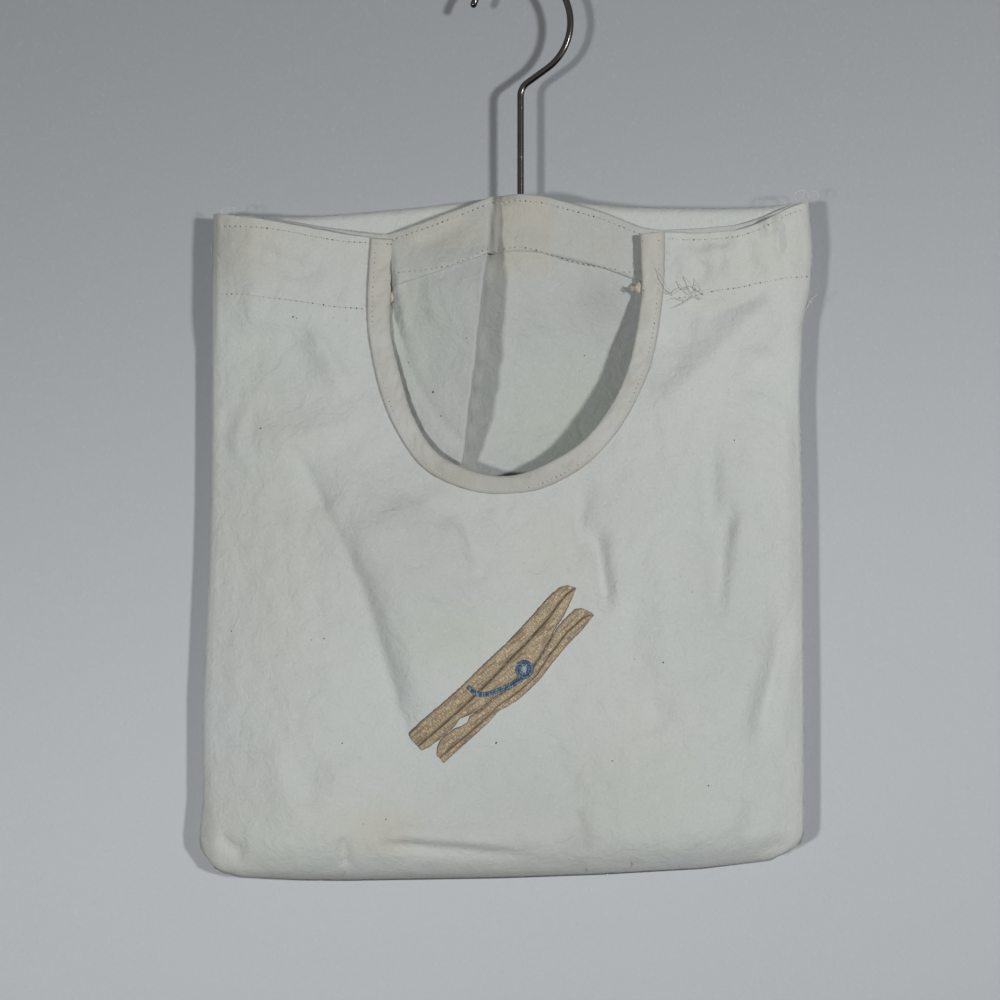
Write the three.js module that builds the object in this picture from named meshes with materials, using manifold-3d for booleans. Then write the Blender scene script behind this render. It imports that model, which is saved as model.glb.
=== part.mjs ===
// A cotton peg bag that hangs from a clothes rail: a front panel with a U-shaped mouth, an inner panel
// behind it and a back panel whose top hem is a casing round a wooden hanger bar. A chrome hook swivels in
// the middle of the bar. Millimetres, +Z up, the mouth faces -Y. The origin is the throat of the hook,
// where the rail bears.
import * as THREE from 'three';
import { mergeVertices } from 'three/addons/utils/BufferGeometryUtils.js';
import Module from 'manifold-3d';

const wasm = await Module();
wasm.setup();

// Fits
const GAP = 0.3; // between pieces that lie on each other
const CUT_OVERRUN = 5; // how far a cutter runs past what it cuts
const FUSE = 0.2; // how deep two layers of one cloth run into each other

// Hook wire
const WIRE_DIAMETER = 3.7;
const CROWN_RADIUS = 27.5; // centre line of the upper arc
const FLANK_RADIUS = 32; // centre line of the wider arc on the side away from the tip
const TIP_ANGLE = THREE.MathUtils.degToRad(163);
const FLANK_ANGLE = THREE.MathUtils.degToRad(25); // where the upper arc turns into the flank
const SLANT_ANGLE = THREE.MathUtils.degToRad(54); // where the flank turns into the straight slant
const NECK_BEND_RADIUS = 9;
const WIRE_SIDES = 12;
const WIRE_STEPS = 64;
const RIVET_DIAMETER = 7;
const RIVET_HEIGHT = 2;

// Ferrule and washer that the hook turns in
const SWIVEL_CLEARANCE = 0.3;
const FERRULE_WALL = 0.9;
const FERRULE_DEPTH = 14;
const FLANGE_DIAMETER = 7.6;
const FLANGE_HEIGHT = 1.2;
const WASHER_DIAMETER = 8;
const WASHER_HEIGHT = 1;
const ROUND_SIDES = 24;

// Cloth
const CLOTH = 1; // thickness of one layer
const BAG_SHIFT = -3; // the cloth hangs a little to one side of the hook
const TOP_WIDTH = 330;
const BOTTOM_WIDTH = 336;
const TOP_DROP = 134.6; // from the hook's throat to the top edge at the corners
const BAG_HEIGHT = 373; // from that edge to the lowest point
const BOTTOM_BOW = 5; // how much higher the bottom edge is at its corners
const BOTTOM_CORNER_RADIUS = 20;
const BACK_PLANE = 5; // Y of the middle of the back cloth

// Top edges
const HUMP_HEIGHT = 9; // the bar and its casing rise round the hook
const HUMP_REACH = 40;
const INNER_PEAK_DROP = 125; // inner panel's edge, at the hook
const INNER_SAG_DROP = 147.5; // and where it hangs lowest
const INNER_SAG_AT = 74;
const FRONT_BELOW_INNER = 1.5;
const FRONT_HEM = 38;
const HEM_RUNOUT = 8; // how far below that hem the binding is still spread by it
const INNER_HEM = 31;

// Hanger bar and its casing
const BAR_THICKNESS = 8;
const BAR_END_ROOM = 21; // from the bar's ends to the side seams
const BAR_LENGTH = TOP_WIDTH - 2 * BAR_END_ROOM;
const BAR_END_TAPER = 13;
const BAR_END_SHARE = 0.98; // how far round its end curve the bar is drawn
const BAR_ROUND_SHARE = 0.8; // corner rounding at the thin ends, of half the thickness
const BAR_BOTTOM_DROP = 161;
const BAR_TOP_PLAY = 2; // between the bar's top and the cloth over it
const CASING_PLAY = 0.5;
const CASING_DEPTH = 41;
const HOOK_SLOT_WIDTH = 26;
const HOOK_SLOT_DEPTH = 6;

// How the cloth layers part from each other, inwards from the side seams
const STACK_BLEND = 22;
const SLOPE_PLAY = 0.5; // extra room where two layers lean together
const HEM_SLOPE_PLAY = 2.1; // and room for the inner panel's stitching
const BAND_BOTTOM_DROP = 188; // above this the layers lie in front of the casing
const BAND_FADE = 37; // and below it they fall back over this height
const BELLY = { top: 14, mouth: 24, full: 28, mouthDrop: 290, fullDrop: 380 };
const SIDE_ROUND = 70;
const SIDE_ROUND_POWER = 2.2;
const BOTTOM_ROUND = 45;
const BOTTOM_ROUND_POWER = 2.4;

// The front panel's main folds: how far each stands out, how far it reaches to the right of its line or
// above it, and to the other side, and the line itself, as widths and drops
const FOLD_FADE = 0.3; // share of its length over which a fold dies away at each end
const FOLDS = [
  { rise: 7, right: 45, left: 14, line: [[-112, 258], [-97, 284], [-68, 343], [-52, 398], [-46, 425]] },
  { rise: 4.5, right: 10, left: 18, line: [[84, 243], [110, 219], [130, 201], [154, 186]] },
  { rise: 4.5, right: 12, left: 24, line: [[143, 352], [130, 398], [118, 444]] },
];

// Mouth and its binding
const MOUTH_HALF_WIDTH = 70;
const MOUTH_CURVE_DROP = 195.5; // where the straight sides turn into the curve
const MOUTH_CURVE_DEPTH = 87;
const BINDING_WIDTH = 12.3;
const BINDING_LAYER = 1;
const MOUTH_STEPS = 52;

// Threads
const THREAD = { width: 0.7, thickness: 0.5, step: 4.5 };
const EDGE_STITCH_INSET = 3.5;
const HEM_STITCH_INSET = 2;
const BINDING_STITCH_INSET = 3;
const ROW_END_INSET = 4;
const INNER_ROW_END_INSET = 36;
const SEAM_THREAD = { diameter: 0.9, inset: 6.5, bottomInset: 4.5 };
const SEAM_THREAD_SIDES = 6;

// Embroidered peg: its outlines are shares of its length, along its axis and across it
const MOTIF = { x: -9, drop: 393, turn: THREE.MathUtils.degToRad(40.5), length: 127, layer: 0.9 };
const SPRING = { coilRadius: 5, eyeRadius: 2.2, strand: 2.4 };
const UPPER_LEG_SHARES = [
  [-0.48, 0.065], [-0.12, 0.075], [0.11, 0.1], [0.38, 0.125], [0.47, 0.105], [0.49, 0.065], [0.33, 0.005],
  [0.19, -0.016], [0.095, -0.04], [-0.065, -0.047], [-0.205, -0.043], [-0.24, -0.03], [-0.27, -0.043],
  [-0.395, -0.057], [-0.49, -0.03],
];
const LOWER_LEG_SHARES = [
  [0.43, 0.015], [0.48, -0.022], [0.47, -0.07], [0.27, -0.115], [0.085, -0.135], [-0.12, -0.122],
  [-0.315, -0.135], [-0.425, -0.145], [-0.44, -0.1], [-0.395, -0.07], [-0.285, -0.056], [-0.245, -0.067],
  [-0.205, -0.056], [-0.065, -0.06], [0.095, -0.052], [0.19, -0.028], [0.33, -0.007],
];
const COIL_SHARES = [0.1, -0.055];
const ARM_SHARES = [[0.07, -0.06], [0.03, -0.062], [-0.04, -0.047], [-0.13, -0.017], [-0.14, 0.045]];

// Finishes
const CHROME = new THREE.MeshStandardMaterial({ color: 0x8f8f92, roughness: 0.16, metalness: 1 });
const STEEL = new THREE.MeshStandardMaterial({ color: 0x9a9a9c, roughness: 0.4, metalness: 1 });
const BEECH = new THREE.MeshStandardMaterial({ color: 0xc9a26b, roughness: 0.6 });
const COTTON = new THREE.MeshStandardMaterial({ color: 0xe3e2da, roughness: 0.95 });
const BIAS_TAPE = new THREE.MeshStandardMaterial({ color: 0xe2dccf, roughness: 0.95 });
const COTTON_THREAD = new THREE.MeshStandardMaterial({ color: 0xd9d3c4, roughness: 0.9 });
const TAN_THREAD = new THREE.MeshStandardMaterial({ color: 0xb3946a, roughness: 0.55 });
const BLUE_THREAD = new THREE.MeshStandardMaterial({ color: 0x7f98b8, roughness: 0.5 });

// Closed geometry to a solid that can be cut and joined, and back
function solid(geometry) {
  const bare = geometry.clone();
  bare.deleteAttribute('normal');
  bare.deleteAttribute('uv');
  const merged = mergeVertices(bare, 1e-4);
  const mesh = { numProp: 3, vertProperties: merged.attributes.position.array };
  return new wasm.Manifold(new wasm.Mesh({ ...mesh, triVerts: new Uint32Array(merged.index.array) }));
}

function geometryOf(body) {
  const mesh = body.getMesh();
  const geometry = new THREE.BufferGeometry();
  geometry.setAttribute('position', new THREE.BufferAttribute(mesh.vertProperties, 3));
  geometry.setIndex(new THREE.BufferAttribute(mesh.triVerts, 1));
  return geometry;
}

// A flat outline in X and Z, pushed through the bag from one Y to the other
function prism(shape, fromY, toY, curveSegments = 12) {
  const options = { depth: toY - fromY, bevelEnabled: false, curveSegments };
  return solid(new THREE.ExtrudeGeometry(shape, options).rotateX(Math.PI / 2).translate(0, toY, 0));
}

// A skin through rings of points, closed by a flat cap at each end. place() puts a section point in space.
function loft(stations, section, place) {
  const positions = [];
  const faces = [];
  const ring = (station) => {
    const points = section(station).slice();
    return THREE.ShapeUtils.isClockWise(points) ? points.reverse() : points;
  };
  const count = ring(stations[0]).length;
  for (const station of stations) {
    for (const point of ring(station)) positions.push(...place(station, point));
  }
  for (let i = 0; i < stations.length - 1; i++) {
    for (let j = 0; j < count; j++) {
      const a = i * count + j;
      const b = i * count + (j + 1) % count;
      faces.push(a, b, b + count, a, b + count, a + count);
    }
  }
  const last = (stations.length - 1) * count;
  for (const [a, b, c] of THREE.ShapeUtils.triangulateShape(ring(stations[0]), [])) faces.push(c, b, a);
  for (const [a, b, c] of THREE.ShapeUtils.triangulateShape(ring(stations.at(-1)), [])) {
    faces.push(last + a, last + b, last + c);
  }
  const geometry = new THREE.BufferGeometry();
  geometry.setAttribute('position', new THREE.Float32BufferAttribute(positions, 3));
  geometry.setIndex(faces);
  const body = solid(geometry);
  if (body.volume() > 0) return body;
  const flipped = geometry.clone();
  flipped.setIndex(faces.flatMap((_, i) => (i % 3 ? [] : [faces[i], faces[i + 2], faces[i + 1]])));
  return solid(flipped);
}

function steps(from, to, count) {
  return Array.from({ length: count + 1 }, (_, i) => from + (to - from) * i / count);
}

// Shape of the bag seen from the front
const smooth = (t) => THREE.MathUtils.smoothstep(t, 0, 1);
const BOTTOM_DROP = TOP_DROP + BAG_HEIGHT;

function halfWidth(z) {
  const share = THREE.MathUtils.clamp((-TOP_DROP - z) / BAG_HEIGHT, 0, 1);
  return THREE.MathUtils.lerp(TOP_WIDTH, BOTTOM_WIDTH, share) / 2;
}

function casingTop(x) {
  return -TOP_DROP + HUMP_HEIGHT * Math.exp(-((x + BAG_SHIFT) ** 2) / HUMP_REACH ** 2);
}

function innerTop(x) {
  const away = Math.abs(x);
  if (away < INNER_SAG_AT) {
    const rise = (1 + Math.cos(Math.PI * away / INNER_SAG_AT)) / 2;
    return -INNER_SAG_DROP + (INNER_SAG_DROP - INNER_PEAK_DROP) * rise;
  }
  const share = (away - INNER_SAG_AT) / (TOP_WIDTH / 2 - INNER_SAG_AT);
  return -INNER_SAG_DROP + (INNER_SAG_DROP - TOP_DROP) * Math.min(share, 1) ** 2;
}

const frontTop = (x) => innerTop(x) - FRONT_BELOW_INNER;
const bottomEdge = (x) => -BOTTOM_DROP + BOTTOM_BOW * (x / (BOTTOM_WIDTH / 2)) ** 2;

// The panel's outline, down to its bottom seam or, for a hem, to a given depth below its top edge
function panelOutline(topEdge, depth = null) {
  const columns = steps(-TOP_WIDTH / 2, TOP_WIDTH / 2, 48);
  const points = columns.map((x) => new THREE.Vector2(x, topEdge(x)));
  if (depth !== null) {
    points.push(...columns.reverse().map((x) => new THREE.Vector2(x, topEdge(x) - depth)));
    return new THREE.Shape(points);
  }
  const half = BOTTOM_WIDTH / 2;
  const corner = new THREE.Vector2(half - BOTTOM_CORNER_RADIUS, bottomEdge(half) + BOTTOM_CORNER_RADIUS);
  const rounded = steps(0, -Math.PI / 2, 6).map((angle) => new THREE.Vector2(
    corner.x + BOTTOM_CORNER_RADIUS * Math.cos(angle),
    corner.y + BOTTOM_CORNER_RADIUS * Math.sin(angle),
  ));
  points.push(...rounded);
  const foot = steps(corner.x, -corner.x, 12).slice(1, -1);
  points.push(...foot.map((x) => new THREE.Vector2(x, bottomEdge(x))));
  points.push(...rounded.reverse().map((point) => new THREE.Vector2(-point.x, point.y)));
  return new THREE.Shape(points);
}

// Depth of each layer, as Y of the middle of its cloth. The layers are stacked at the side seams and part
// inwards.
const LAYER = CLOTH + GAP;
const CASING_FRONT = -(BAR_THICKNESS / 2 + CASING_PLAY + CLOTH / 2);
const sideInset = (x, z) => Math.max(halfWidth(z) - Math.abs(x), 0);
const parting = (x, z) => smooth(sideInset(x, z) / STACK_BLEND);
const band = (z) => smooth((z + BAND_BOTTOM_DROP + BAND_FADE) / BAND_FADE);

function casingFrontY(x, z) {
  return THREE.MathUtils.lerp(BACK_PLANE - LAYER, CASING_FRONT, parting(x, z));
}

function innerBandY(x, z) {
  return casingFrontY(x, z) - LAYER - SLOPE_PLAY * parting(x, z);
}

function innerY(x, z) {
  return THREE.MathUtils.lerp(BACK_PLANE - LAYER, innerBandY(x, z), band(z));
}

function bellyDepth(z) {
  const { top, mouth, full, mouthDrop, fullDrop } = BELLY;
  const toMouth = smooth((-BAND_BOTTOM_DROP - z) / (mouthDrop - BAND_BOTTOM_DROP));
  return top + (mouth - top) * toMouth + (full - mouth) * smooth((-mouthDrop - z) / (fullDrop - mouthDrop));
}

function foldHeight(x, z) {
  const at = new THREE.Vector2(x, z);
  return FOLDS.reduce((height, { rise, right, left, line }) => {
    const route = line.map(([width, drop]) => new THREE.Vector2(width, -drop));
    const lengths = route.slice(1).map((end, i) => end.distanceTo(route[i]));
    const total = lengths.reduce((sum, length) => sum + length, 0);
    let run = 0;
    let nearest = { away: Infinity };
    lengths.forEach((length, i) => {
      const along = route[i + 1].clone().sub(route[i]).normalize();
      const from = at.clone().sub(route[i]);
      const reached = THREE.MathUtils.clamp(from.dot(along), 0, length);
      const away = from.distanceTo(along.clone().multiplyScalar(reached));
      if (away < nearest.away) nearest = { away, side: along.cross(from), share: (run + reached) / total };
      run += length;
    });
    const { away, side, share } = nearest;
    const fade = smooth(share / FOLD_FADE) * smooth((1 - share) / FOLD_FADE);
    return height + rise * fade * Math.exp(-((away / (side > 0 ? right : left)) ** 2));
  }, 0);
}

function frontY(x, z) {
  const fromSide = 1 - (1 - Math.min(sideInset(x, z) / SIDE_ROUND, 1)) ** SIDE_ROUND_POWER;
  const above = THREE.MathUtils.clamp((z - bottomEdge(x)) / BOTTOM_ROUND, 0, 1);
  const fromBottom = 1 - (1 - above) ** BOTTOM_ROUND_POWER;
  const belly = BACK_PLANE - 2 * LAYER - (bellyDepth(z) + foldHeight(x, z)) * fromSide * fromBottom;
  const twoHems = 2 * CLOTH + LAYER + HEM_SLOPE_PLAY * parting(x, z);
  return THREE.MathUtils.lerp(belly, innerBandY(x, z) - twoHems, band(z));
}

// A point that stands off a cloth surface, towards the front for a positive height
function standOff(surface, x, z, height) {
  const probe = CLOTH / 10;
  const slopeX = (surface(x + probe, z) - surface(x - probe, z)) / (2 * probe);
  const slopeZ = (surface(x, z + probe) - surface(x, z - probe)) / (2 * probe);
  const scale = height / Math.hypot(slopeX, 1, slopeZ);
  return [x + slopeX * scale, surface(x, z) - scale, z + slopeZ * scale];
}

// Cloth between two heights off a surface, over a grid of rows, each with its columns
function layer(surface, low, high, columnsOf, rows) {
  const positions = [];
  const faces = [];
  for (const height of [low, high]) {
    for (const z of rows) {
      for (const x of columnsOf(z)) positions.push(...standOff(surface, x, z, height));
    }
  }
  const wide = columnsOf(rows[0]).length;
  const side = wide * rows.length;
  const at = (i, j, top) => j * wide + i + (top ? side : 0);
  const quad = (a, b, c, d) => faces.push(a, b, c, a, c, d);
  for (let j = 0; j < rows.length - 1; j++) {
    for (let i = 0; i < wide - 1; i++) {
      quad(at(i, j, true), at(i + 1, j, true), at(i + 1, j + 1, true), at(i, j + 1, true));
      quad(at(i, j + 1), at(i + 1, j + 1), at(i + 1, j), at(i, j));
    }
  }
  for (let i = 0; i < wide - 1; i++) {
    quad(at(i, 0), at(i + 1, 0), at(i + 1, 0, true), at(i, 0, true));
    const j = rows.length - 1;
    quad(at(i, j, true), at(i + 1, j, true), at(i + 1, j), at(i, j));
  }
  for (let j = 0; j < rows.length - 1; j++) {
    quad(at(0, j, true), at(0, j + 1, true), at(0, j + 1), at(0, j));
    const i = wide - 1;
    quad(at(i, j), at(i, j + 1), at(i, j + 1, true), at(i, j, true));
  }
  const geometry = new THREE.BufferGeometry();
  geometry.setAttribute('position', new THREE.Float32BufferAttribute(positions, 3));
  geometry.setIndex(faces);
  return solid(geometry);
}

// Grid lines, closer together near the seams, where the cloth curves most
const EDGE_INSETS = steps(-CUT_OVERRUN, STACK_BLEND, 6);
const FLANK_INSETS = steps(STACK_BLEND, SIDE_ROUND, 5).slice(1);

function columnsAt(z) {
  const half = [...EDGE_INSETS, ...FLANK_INSETS].map((inset) => halfWidth(z) - inset);
  const middle = steps(-half.at(-1), half.at(-1), 18).slice(1, -1);
  return [...half.map((x) => -x), ...middle, ...half.reverse()];
}

function rowsDownTo(lowest) {
  const upper = steps(-INNER_PEAK_DROP + CUT_OVERRUN, -BAND_BOTTOM_DROP, 6);
  const fade = steps(-BAND_BOTTOM_DROP, -BAND_BOTTOM_DROP - BAND_FADE, 5).slice(1);
  const belly = steps(fade.at(-1), -BOTTOM_DROP + BOTTOM_ROUND, 20).slice(1);
  const foot = steps(belly.at(-1), -BOTTOM_DROP - CUT_OVERRUN, 7).slice(1);
  return [...upper, ...fade, ...belly, ...foot].filter((z) => z >= lowest).reverse();
}

const ALL_ROWS = rowsDownTo(-Infinity);
const BAND_ROWS = rowsDownTo(-BAND_BOTTOM_DROP - BAND_FADE);
const THROUGH = [-2 * BELLY.full, 2 * BELLY.full];

// A panel with its top hem turned to the front (1) or to the inside (-1)
function hemmedPanel(surface, rows, topEdge, hem, side) {
  const sheet = layer(surface, -CLOTH / 2, CLOTH / 2, columnsAt, rows);
  const from = side * (CLOTH / 2 - FUSE);
  const to = side * CLOTH * 3 / 2;
  const fold = layer(surface, Math.min(from, to), Math.max(from, to), columnsAt, BAND_ROWS);
  const turned = fold.intersect(prism(panelOutline(topEdge, hem), ...THROUGH));
  return sheet.intersect(prism(panelOutline(topEdge), ...THROUGH)).add(turned);
}

// The mouth's edge line, moved outwards by an offset; it runs past the front panel's top edge
function mouthPath(offset, topZ) {
  const half = MOUTH_HALF_WIDTH + offset;
  const path = new THREE.Path();
  path.moveTo(-half, topZ);
  path.lineTo(-half, -MOUTH_CURVE_DROP);
  path.absellipse(0, -MOUTH_CURVE_DROP, half, MOUTH_CURVE_DEPTH + offset, Math.PI, 2 * Math.PI, false, 0);
  path.lineTo(half, topZ);
  return path;
}

function frontPanel() {
  const clear = BINDING_LAYER + GAP;
  const above = -INNER_PEAK_DROP + CUT_OVERRUN;
  const mouth = new THREE.Shape(mouthPath(clear, above).getPoints(MOUTH_STEPS));
  return hemmedPanel(frontY, ALL_ROWS, frontTop, FRONT_HEM, -1).subtract(prism(mouth, ...THROUGH));
}

// Below the casing the inner panel is flat, so its lowest row is enough there
function innerPanel() {
  return hemmedPanel(innerY, [ALL_ROWS[0], ...BAND_ROWS], innerTop, INNER_HEM, 1);
}

// The back panel: a flat sheet, and a casing that goes up over the bar, down in front of it and back to the
// sheet
function casingSection(x) {
  const top = casingTop(x) - CLOTH / 2;
  const front = casingFrontY(x, -TOP_DROP);
  const middle = (BACK_PLANE + front) / 2;
  const half = (BACK_PLANE - front) / 2;
  const foot = -TOP_DROP - CASING_DEPTH;
  const arch = steps(0, Math.PI, 6).map((angle) => [
    middle + half * Math.cos(angle),
    top - half * (1 - Math.sin(angle)),
  ]);
  const slantTop = foot + BACK_PLANE - CASING_FRONT;
  const line = [[BACK_PLANE, top - half - CLOTH], ...arch, [front, slantTop], [BACK_PLANE, foot]];
  const outer = [];
  const inner = [];
  line.forEach(([y, z], i) => {
    const before = line[Math.max(i - 1, 0)];
    const after = line[Math.min(i + 1, line.length - 1)];
    const long = Math.hypot(after[0] - before[0], after[1] - before[1]);
    const across = [(after[1] - before[1]) / long, -(after[0] - before[0]) / long];
    outer.push(new THREE.Vector2(y + across[0] * CLOTH / 2, z + across[1] * CLOTH / 2));
    inner.push(new THREE.Vector2(y - across[0] * CLOTH / 2, z - across[1] * CLOTH / 2));
  });
  return [...outer, ...inner.reverse()];
}

function backPanel() {
  const sheet = prism(panelOutline(casingTop), BACK_PLANE - CLOTH / 2, BACK_PLANE + CLOTH / 2);
  const half = TOP_WIDTH / 2;
  const ends = steps(half, half - STACK_BLEND, 5);
  const middle = steps(-half + STACK_BLEND, half - STACK_BLEND, 22).slice(1, -1);
  const stations = [...ends.map((x) => -x), ...middle, ...ends.reverse()];
  const behind = BACK_PLANE + CLOTH / 2;
  const casing = loft(stations, casingSection, (x, point) => [x, Math.min(point.x, behind), point.y]);
  const slot = new THREE.BoxGeometry(HOOK_SLOT_WIDTH, BACK_PLANE * 4, HOOK_SLOT_DEPTH * 2);
  slot.translate(-BAG_SHIFT, 0, casingTop(-BAG_SHIFT));
  return sheet.add(casing).subtract(solid(slot));
}

// The tape folded round the mouth's edge, in front of the panel and behind it
function bindingSection() {
  const slot = CLOTH / 2 + GAP;
  const outside = slot + BINDING_LAYER;
  const hemSlot = slot + CLOTH;
  const hemOutside = hemSlot + BINDING_LAYER;
  return { slot, outside, hemSlot, hemOutside };
}

function mouthBinding() {
  const { slot, outside, hemSlot, hemOutside } = bindingSection();
  const outer = BINDING_WIDTH;
  const round = BINDING_LAYER / 2;
  const section = (back, backSlot) => [
    [outer, outside], [outer, slot], [BINDING_LAYER, slot], [BINDING_LAYER, -backSlot], [outer, -backSlot],
    [outer, -back], [round, -back], [0, -back + round], [0, outside - round], [round, outside],
  ].map(([a, b]) => new THREE.Vector2(a, b));
  const path = mouthPath(0, -INNER_PEAK_DROP);
  const stations = steps(0, 1, MOUTH_STEPS).map((share) => {
    const at = path.getPointAt(share);
    const along = path.getTangentAt(share);
    const hemmed = at.y > frontTop(at.x) - FRONT_HEM - HEM_RUNOUT;
    return { at, out: new THREE.Vector2(along.y, -along.x), hemmed };
  });
  const tape = loft(
    stations,
    (station) => (station.hemmed ? section(hemOutside, hemSlot) : section(outside, slot)),
    ({ at, out }, point) => standOff(frontY, at.x + out.x * point.x, at.y + out.y * point.x, point.y),
  );
  return tape.intersect(prism(panelOutline(frontTop), ...THROUGH));
}

// The points of a route in X and Z, each with the direction across the route
function stationsAlong(route) {
  return route.map((at, i) => {
    const before = route[Math.max(i - 1, 0)];
    const after = route[Math.min(i + 1, route.length - 1)];
    const along = after.clone().sub(before).normalize();
    return { at, side: new THREE.Vector2(-along.y, along.x) };
  });
}

// A row of stitches that lies on a cloth surface, as one flat thread along a route
function threadRow(surface, route, height, { width, thickness } = THREAD) {
  const low = height + GAP;
  const high = low + thickness;
  const half = width / 2;
  const corners = [[-half, low], [half, low], [half, high], [-half, high]];
  const section = corners.map(([a, b]) => new THREE.Vector2(a, b));
  return loft(stationsAlong(route), () => section, ({ at, side }, point) => (
    standOff(surface, at.x + side.x * point.x, at.y + side.y * point.x, point.y)
  ));
}

function rowAlong(edge, fromX, toX) {
  const count = Math.ceil(Math.abs(toX - fromX) / THREAD.step);
  return steps(fromX, toX, count).map((x) => new THREE.Vector2(x, edge(x)));
}

function bindingRow() {
  const { outside } = bindingSection();
  const top = frontTop(MOUTH_HALF_WIDTH) - EDGE_STITCH_INSET;
  const path = mouthPath(BINDING_WIDTH - BINDING_STITCH_INSET, top);
  return threadRow(frontY, path.getSpacedPoints(MOUTH_STEPS), outside);
}

// The thread of a turned seam, in the crotch between the front panel and the inner one
function seamThread(route) {
  const radius = SEAM_THREAD.diameter / 2;
  const ring = steps(0, 2 * Math.PI, SEAM_THREAD_SIDES).slice(0, -1)
    .map((angle) => new THREE.Vector2(radius * Math.cos(angle), radius * Math.sin(angle)));
  const clear = CLOTH / 2 + GAP + radius;
  return loft(stationsAlong(route), () => ring, ({ at, side }, point) => (
    [at.x + side.x * point.x, innerY(at.x, at.y) - clear - point.y, at.y + side.y * point.x]
  ));
}

function sideSeamRoute(side) {
  const top = -BAND_BOTTOM_DROP - BAND_FADE;
  const bottom = -BOTTOM_DROP + BOTTOM_CORNER_RADIUS + BOTTOM_BOW;
  return steps(top, bottom, 16).map((z) => new THREE.Vector2(side * (halfWidth(z) - SEAM_THREAD.inset), z));
}

function bottomSeamRoute() {
  const half = BOTTOM_WIDTH / 2 - BOTTOM_CORNER_RADIUS * 2;
  return steps(-half, half, 24).map((x) => new THREE.Vector2(x, bottomEdge(x) + SEAM_THREAD.bottomInset));
}

// Round pieces on the hook's axis
function rod(radius, fromZ, toZ) {
  const cylinder = new THREE.CylinderGeometry(radius, radius, toZ - fromZ, ROUND_SIDES);
  return solid(cylinder.rotateX(Math.PI / 2).translate(0, 0, (fromZ + toZ) / 2));
}

const BORE_RADIUS = WIRE_DIAMETER / 2 + SWIVEL_CLEARANCE;
const BAR_TOP = casingTop(-BAG_SHIFT) - CLOTH - BAR_TOP_PLAY;
const BAR_STRAIGHT = BAR_LENGTH / 2 - BAR_END_TAPER;

// Hanger bar: a rounded slat that rises round the hook and thins towards its ends
function barSection(x) {
  const corner = BAR_THICKNESS / 4;
  const past = BAR_END_SHARE * Math.max(Math.abs(x) - BAR_STRAIGHT, 0) / BAR_END_TAPER;
  const half = BAR_THICKNESS / 2 * Math.sqrt(1 - past ** 2);
  const drawnIn = 2 * corner * past ** 3;
  const top = casingTop(x - BAG_SHIFT) - CLOTH - BAR_TOP_PLAY - drawnIn;
  const bottom = -BAR_BOTTOM_DROP + drawnIn;
  const round = Math.min(corner, half * BAR_ROUND_SHARE);
  const centres = [[half, top], [-half, top], [-half, bottom], [half, bottom]];
  return centres.flatMap(([y, z], quarter) => {
    const start = quarter * Math.PI / 2;
    return steps(start, start + Math.PI / 2, 3).map((angle) => new THREE.Vector2(
      y - Math.sign(y) * round + round * Math.cos(angle),
      z + (z === top ? -round : round) + round * Math.sin(angle),
    ));
  });
}

function hangerBar() {
  const ends = steps(BAR_LENGTH / 2, BAR_STRAIGHT, 5);
  const middle = steps(-BAR_STRAIGHT, BAR_STRAIGHT, 22).slice(1, -1);
  const stations = [...ends.map((x) => -x), ...middle, ...ends.reverse()];
  const bar = loft(stations, barSection, (x, point) => [x, point.x, point.y]);
  const seatRadius = BORE_RADIUS + FERRULE_WALL + GAP;
  const seat = rod(seatRadius, BAR_TOP - FERRULE_DEPTH - GAP, BAR_TOP + CUT_OVERRUN);
  const bore = rod(BORE_RADIUS, -BAR_BOTTOM_DROP - CUT_OVERRUN, BAR_TOP);
  return bar.subtract(seat).subtract(bore);
}

function ferrule() {
  const flange = rod(FLANGE_DIAMETER / 2, BAR_TOP + GAP, BAR_TOP + GAP + FLANGE_HEIGHT);
  const tube = rod(BORE_RADIUS + FERRULE_WALL, BAR_TOP - FERRULE_DEPTH, BAR_TOP + GAP + FLANGE_HEIGHT);
  return flange.add(tube).subtract(rod(BORE_RADIUS, BAR_TOP - FERRULE_DEPTH * 2, BAR_TOP + CUT_OVERRUN));
}

function washer() {
  const top = -BAR_BOTTOM_DROP - GAP;
  const bore = rod(BORE_RADIUS, top - CUT_OVERRUN, top + CUT_OVERRUN);
  return rod(WASHER_DIAMETER / 2, top - WASHER_HEIGHT, top).subtract(bore);
}

// Hook: crown, wider flank, slant, neck bend and straight neck, down to the riveted end under the washer
class HookLine extends THREE.Curve {
  constructor() {
    super();
    const crown = new THREE.Vector2(0, WIRE_DIAMETER / 2 - CROWN_RADIUS);
    const shift = FLANK_RADIUS - CROWN_RADIUS;
    const flank = crown.clone().sub(
      new THREE.Vector2(Math.cos(FLANK_ANGLE), Math.sin(FLANK_ANGLE)).multiplyScalar(shift),
    );
    const slantStart = new THREE.Vector2(
      flank.x + FLANK_RADIUS * Math.cos(SLANT_ANGLE),
      flank.y - FLANK_RADIUS * Math.sin(SLANT_ANGLE),
    );
    const cornerZ = slantStart.y - slantStart.x / Math.tan(SLANT_ANGLE);
    const bendZ = cornerZ - NECK_BEND_RADIUS * Math.tan(SLANT_ANGLE / 2);
    const path = new THREE.Path();
    path.absarc(crown.x, crown.y, CROWN_RADIUS, TIP_ANGLE, FLANK_ANGLE, true);
    path.absarc(flank.x, flank.y, FLANK_RADIUS, FLANK_ANGLE, -SLANT_ANGLE, true);
    path.absarc(NECK_BEND_RADIUS, bendZ, NECK_BEND_RADIUS, Math.PI - SLANT_ANGLE, Math.PI, false);
    path.lineTo(0, HOOK_END);
    this.path = path;
  }

  getPoint(share, target = new THREE.Vector3()) {
    const at = this.path.getPoint(share);
    return target.set(at.x, 0, at.y);
  }
}

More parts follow.
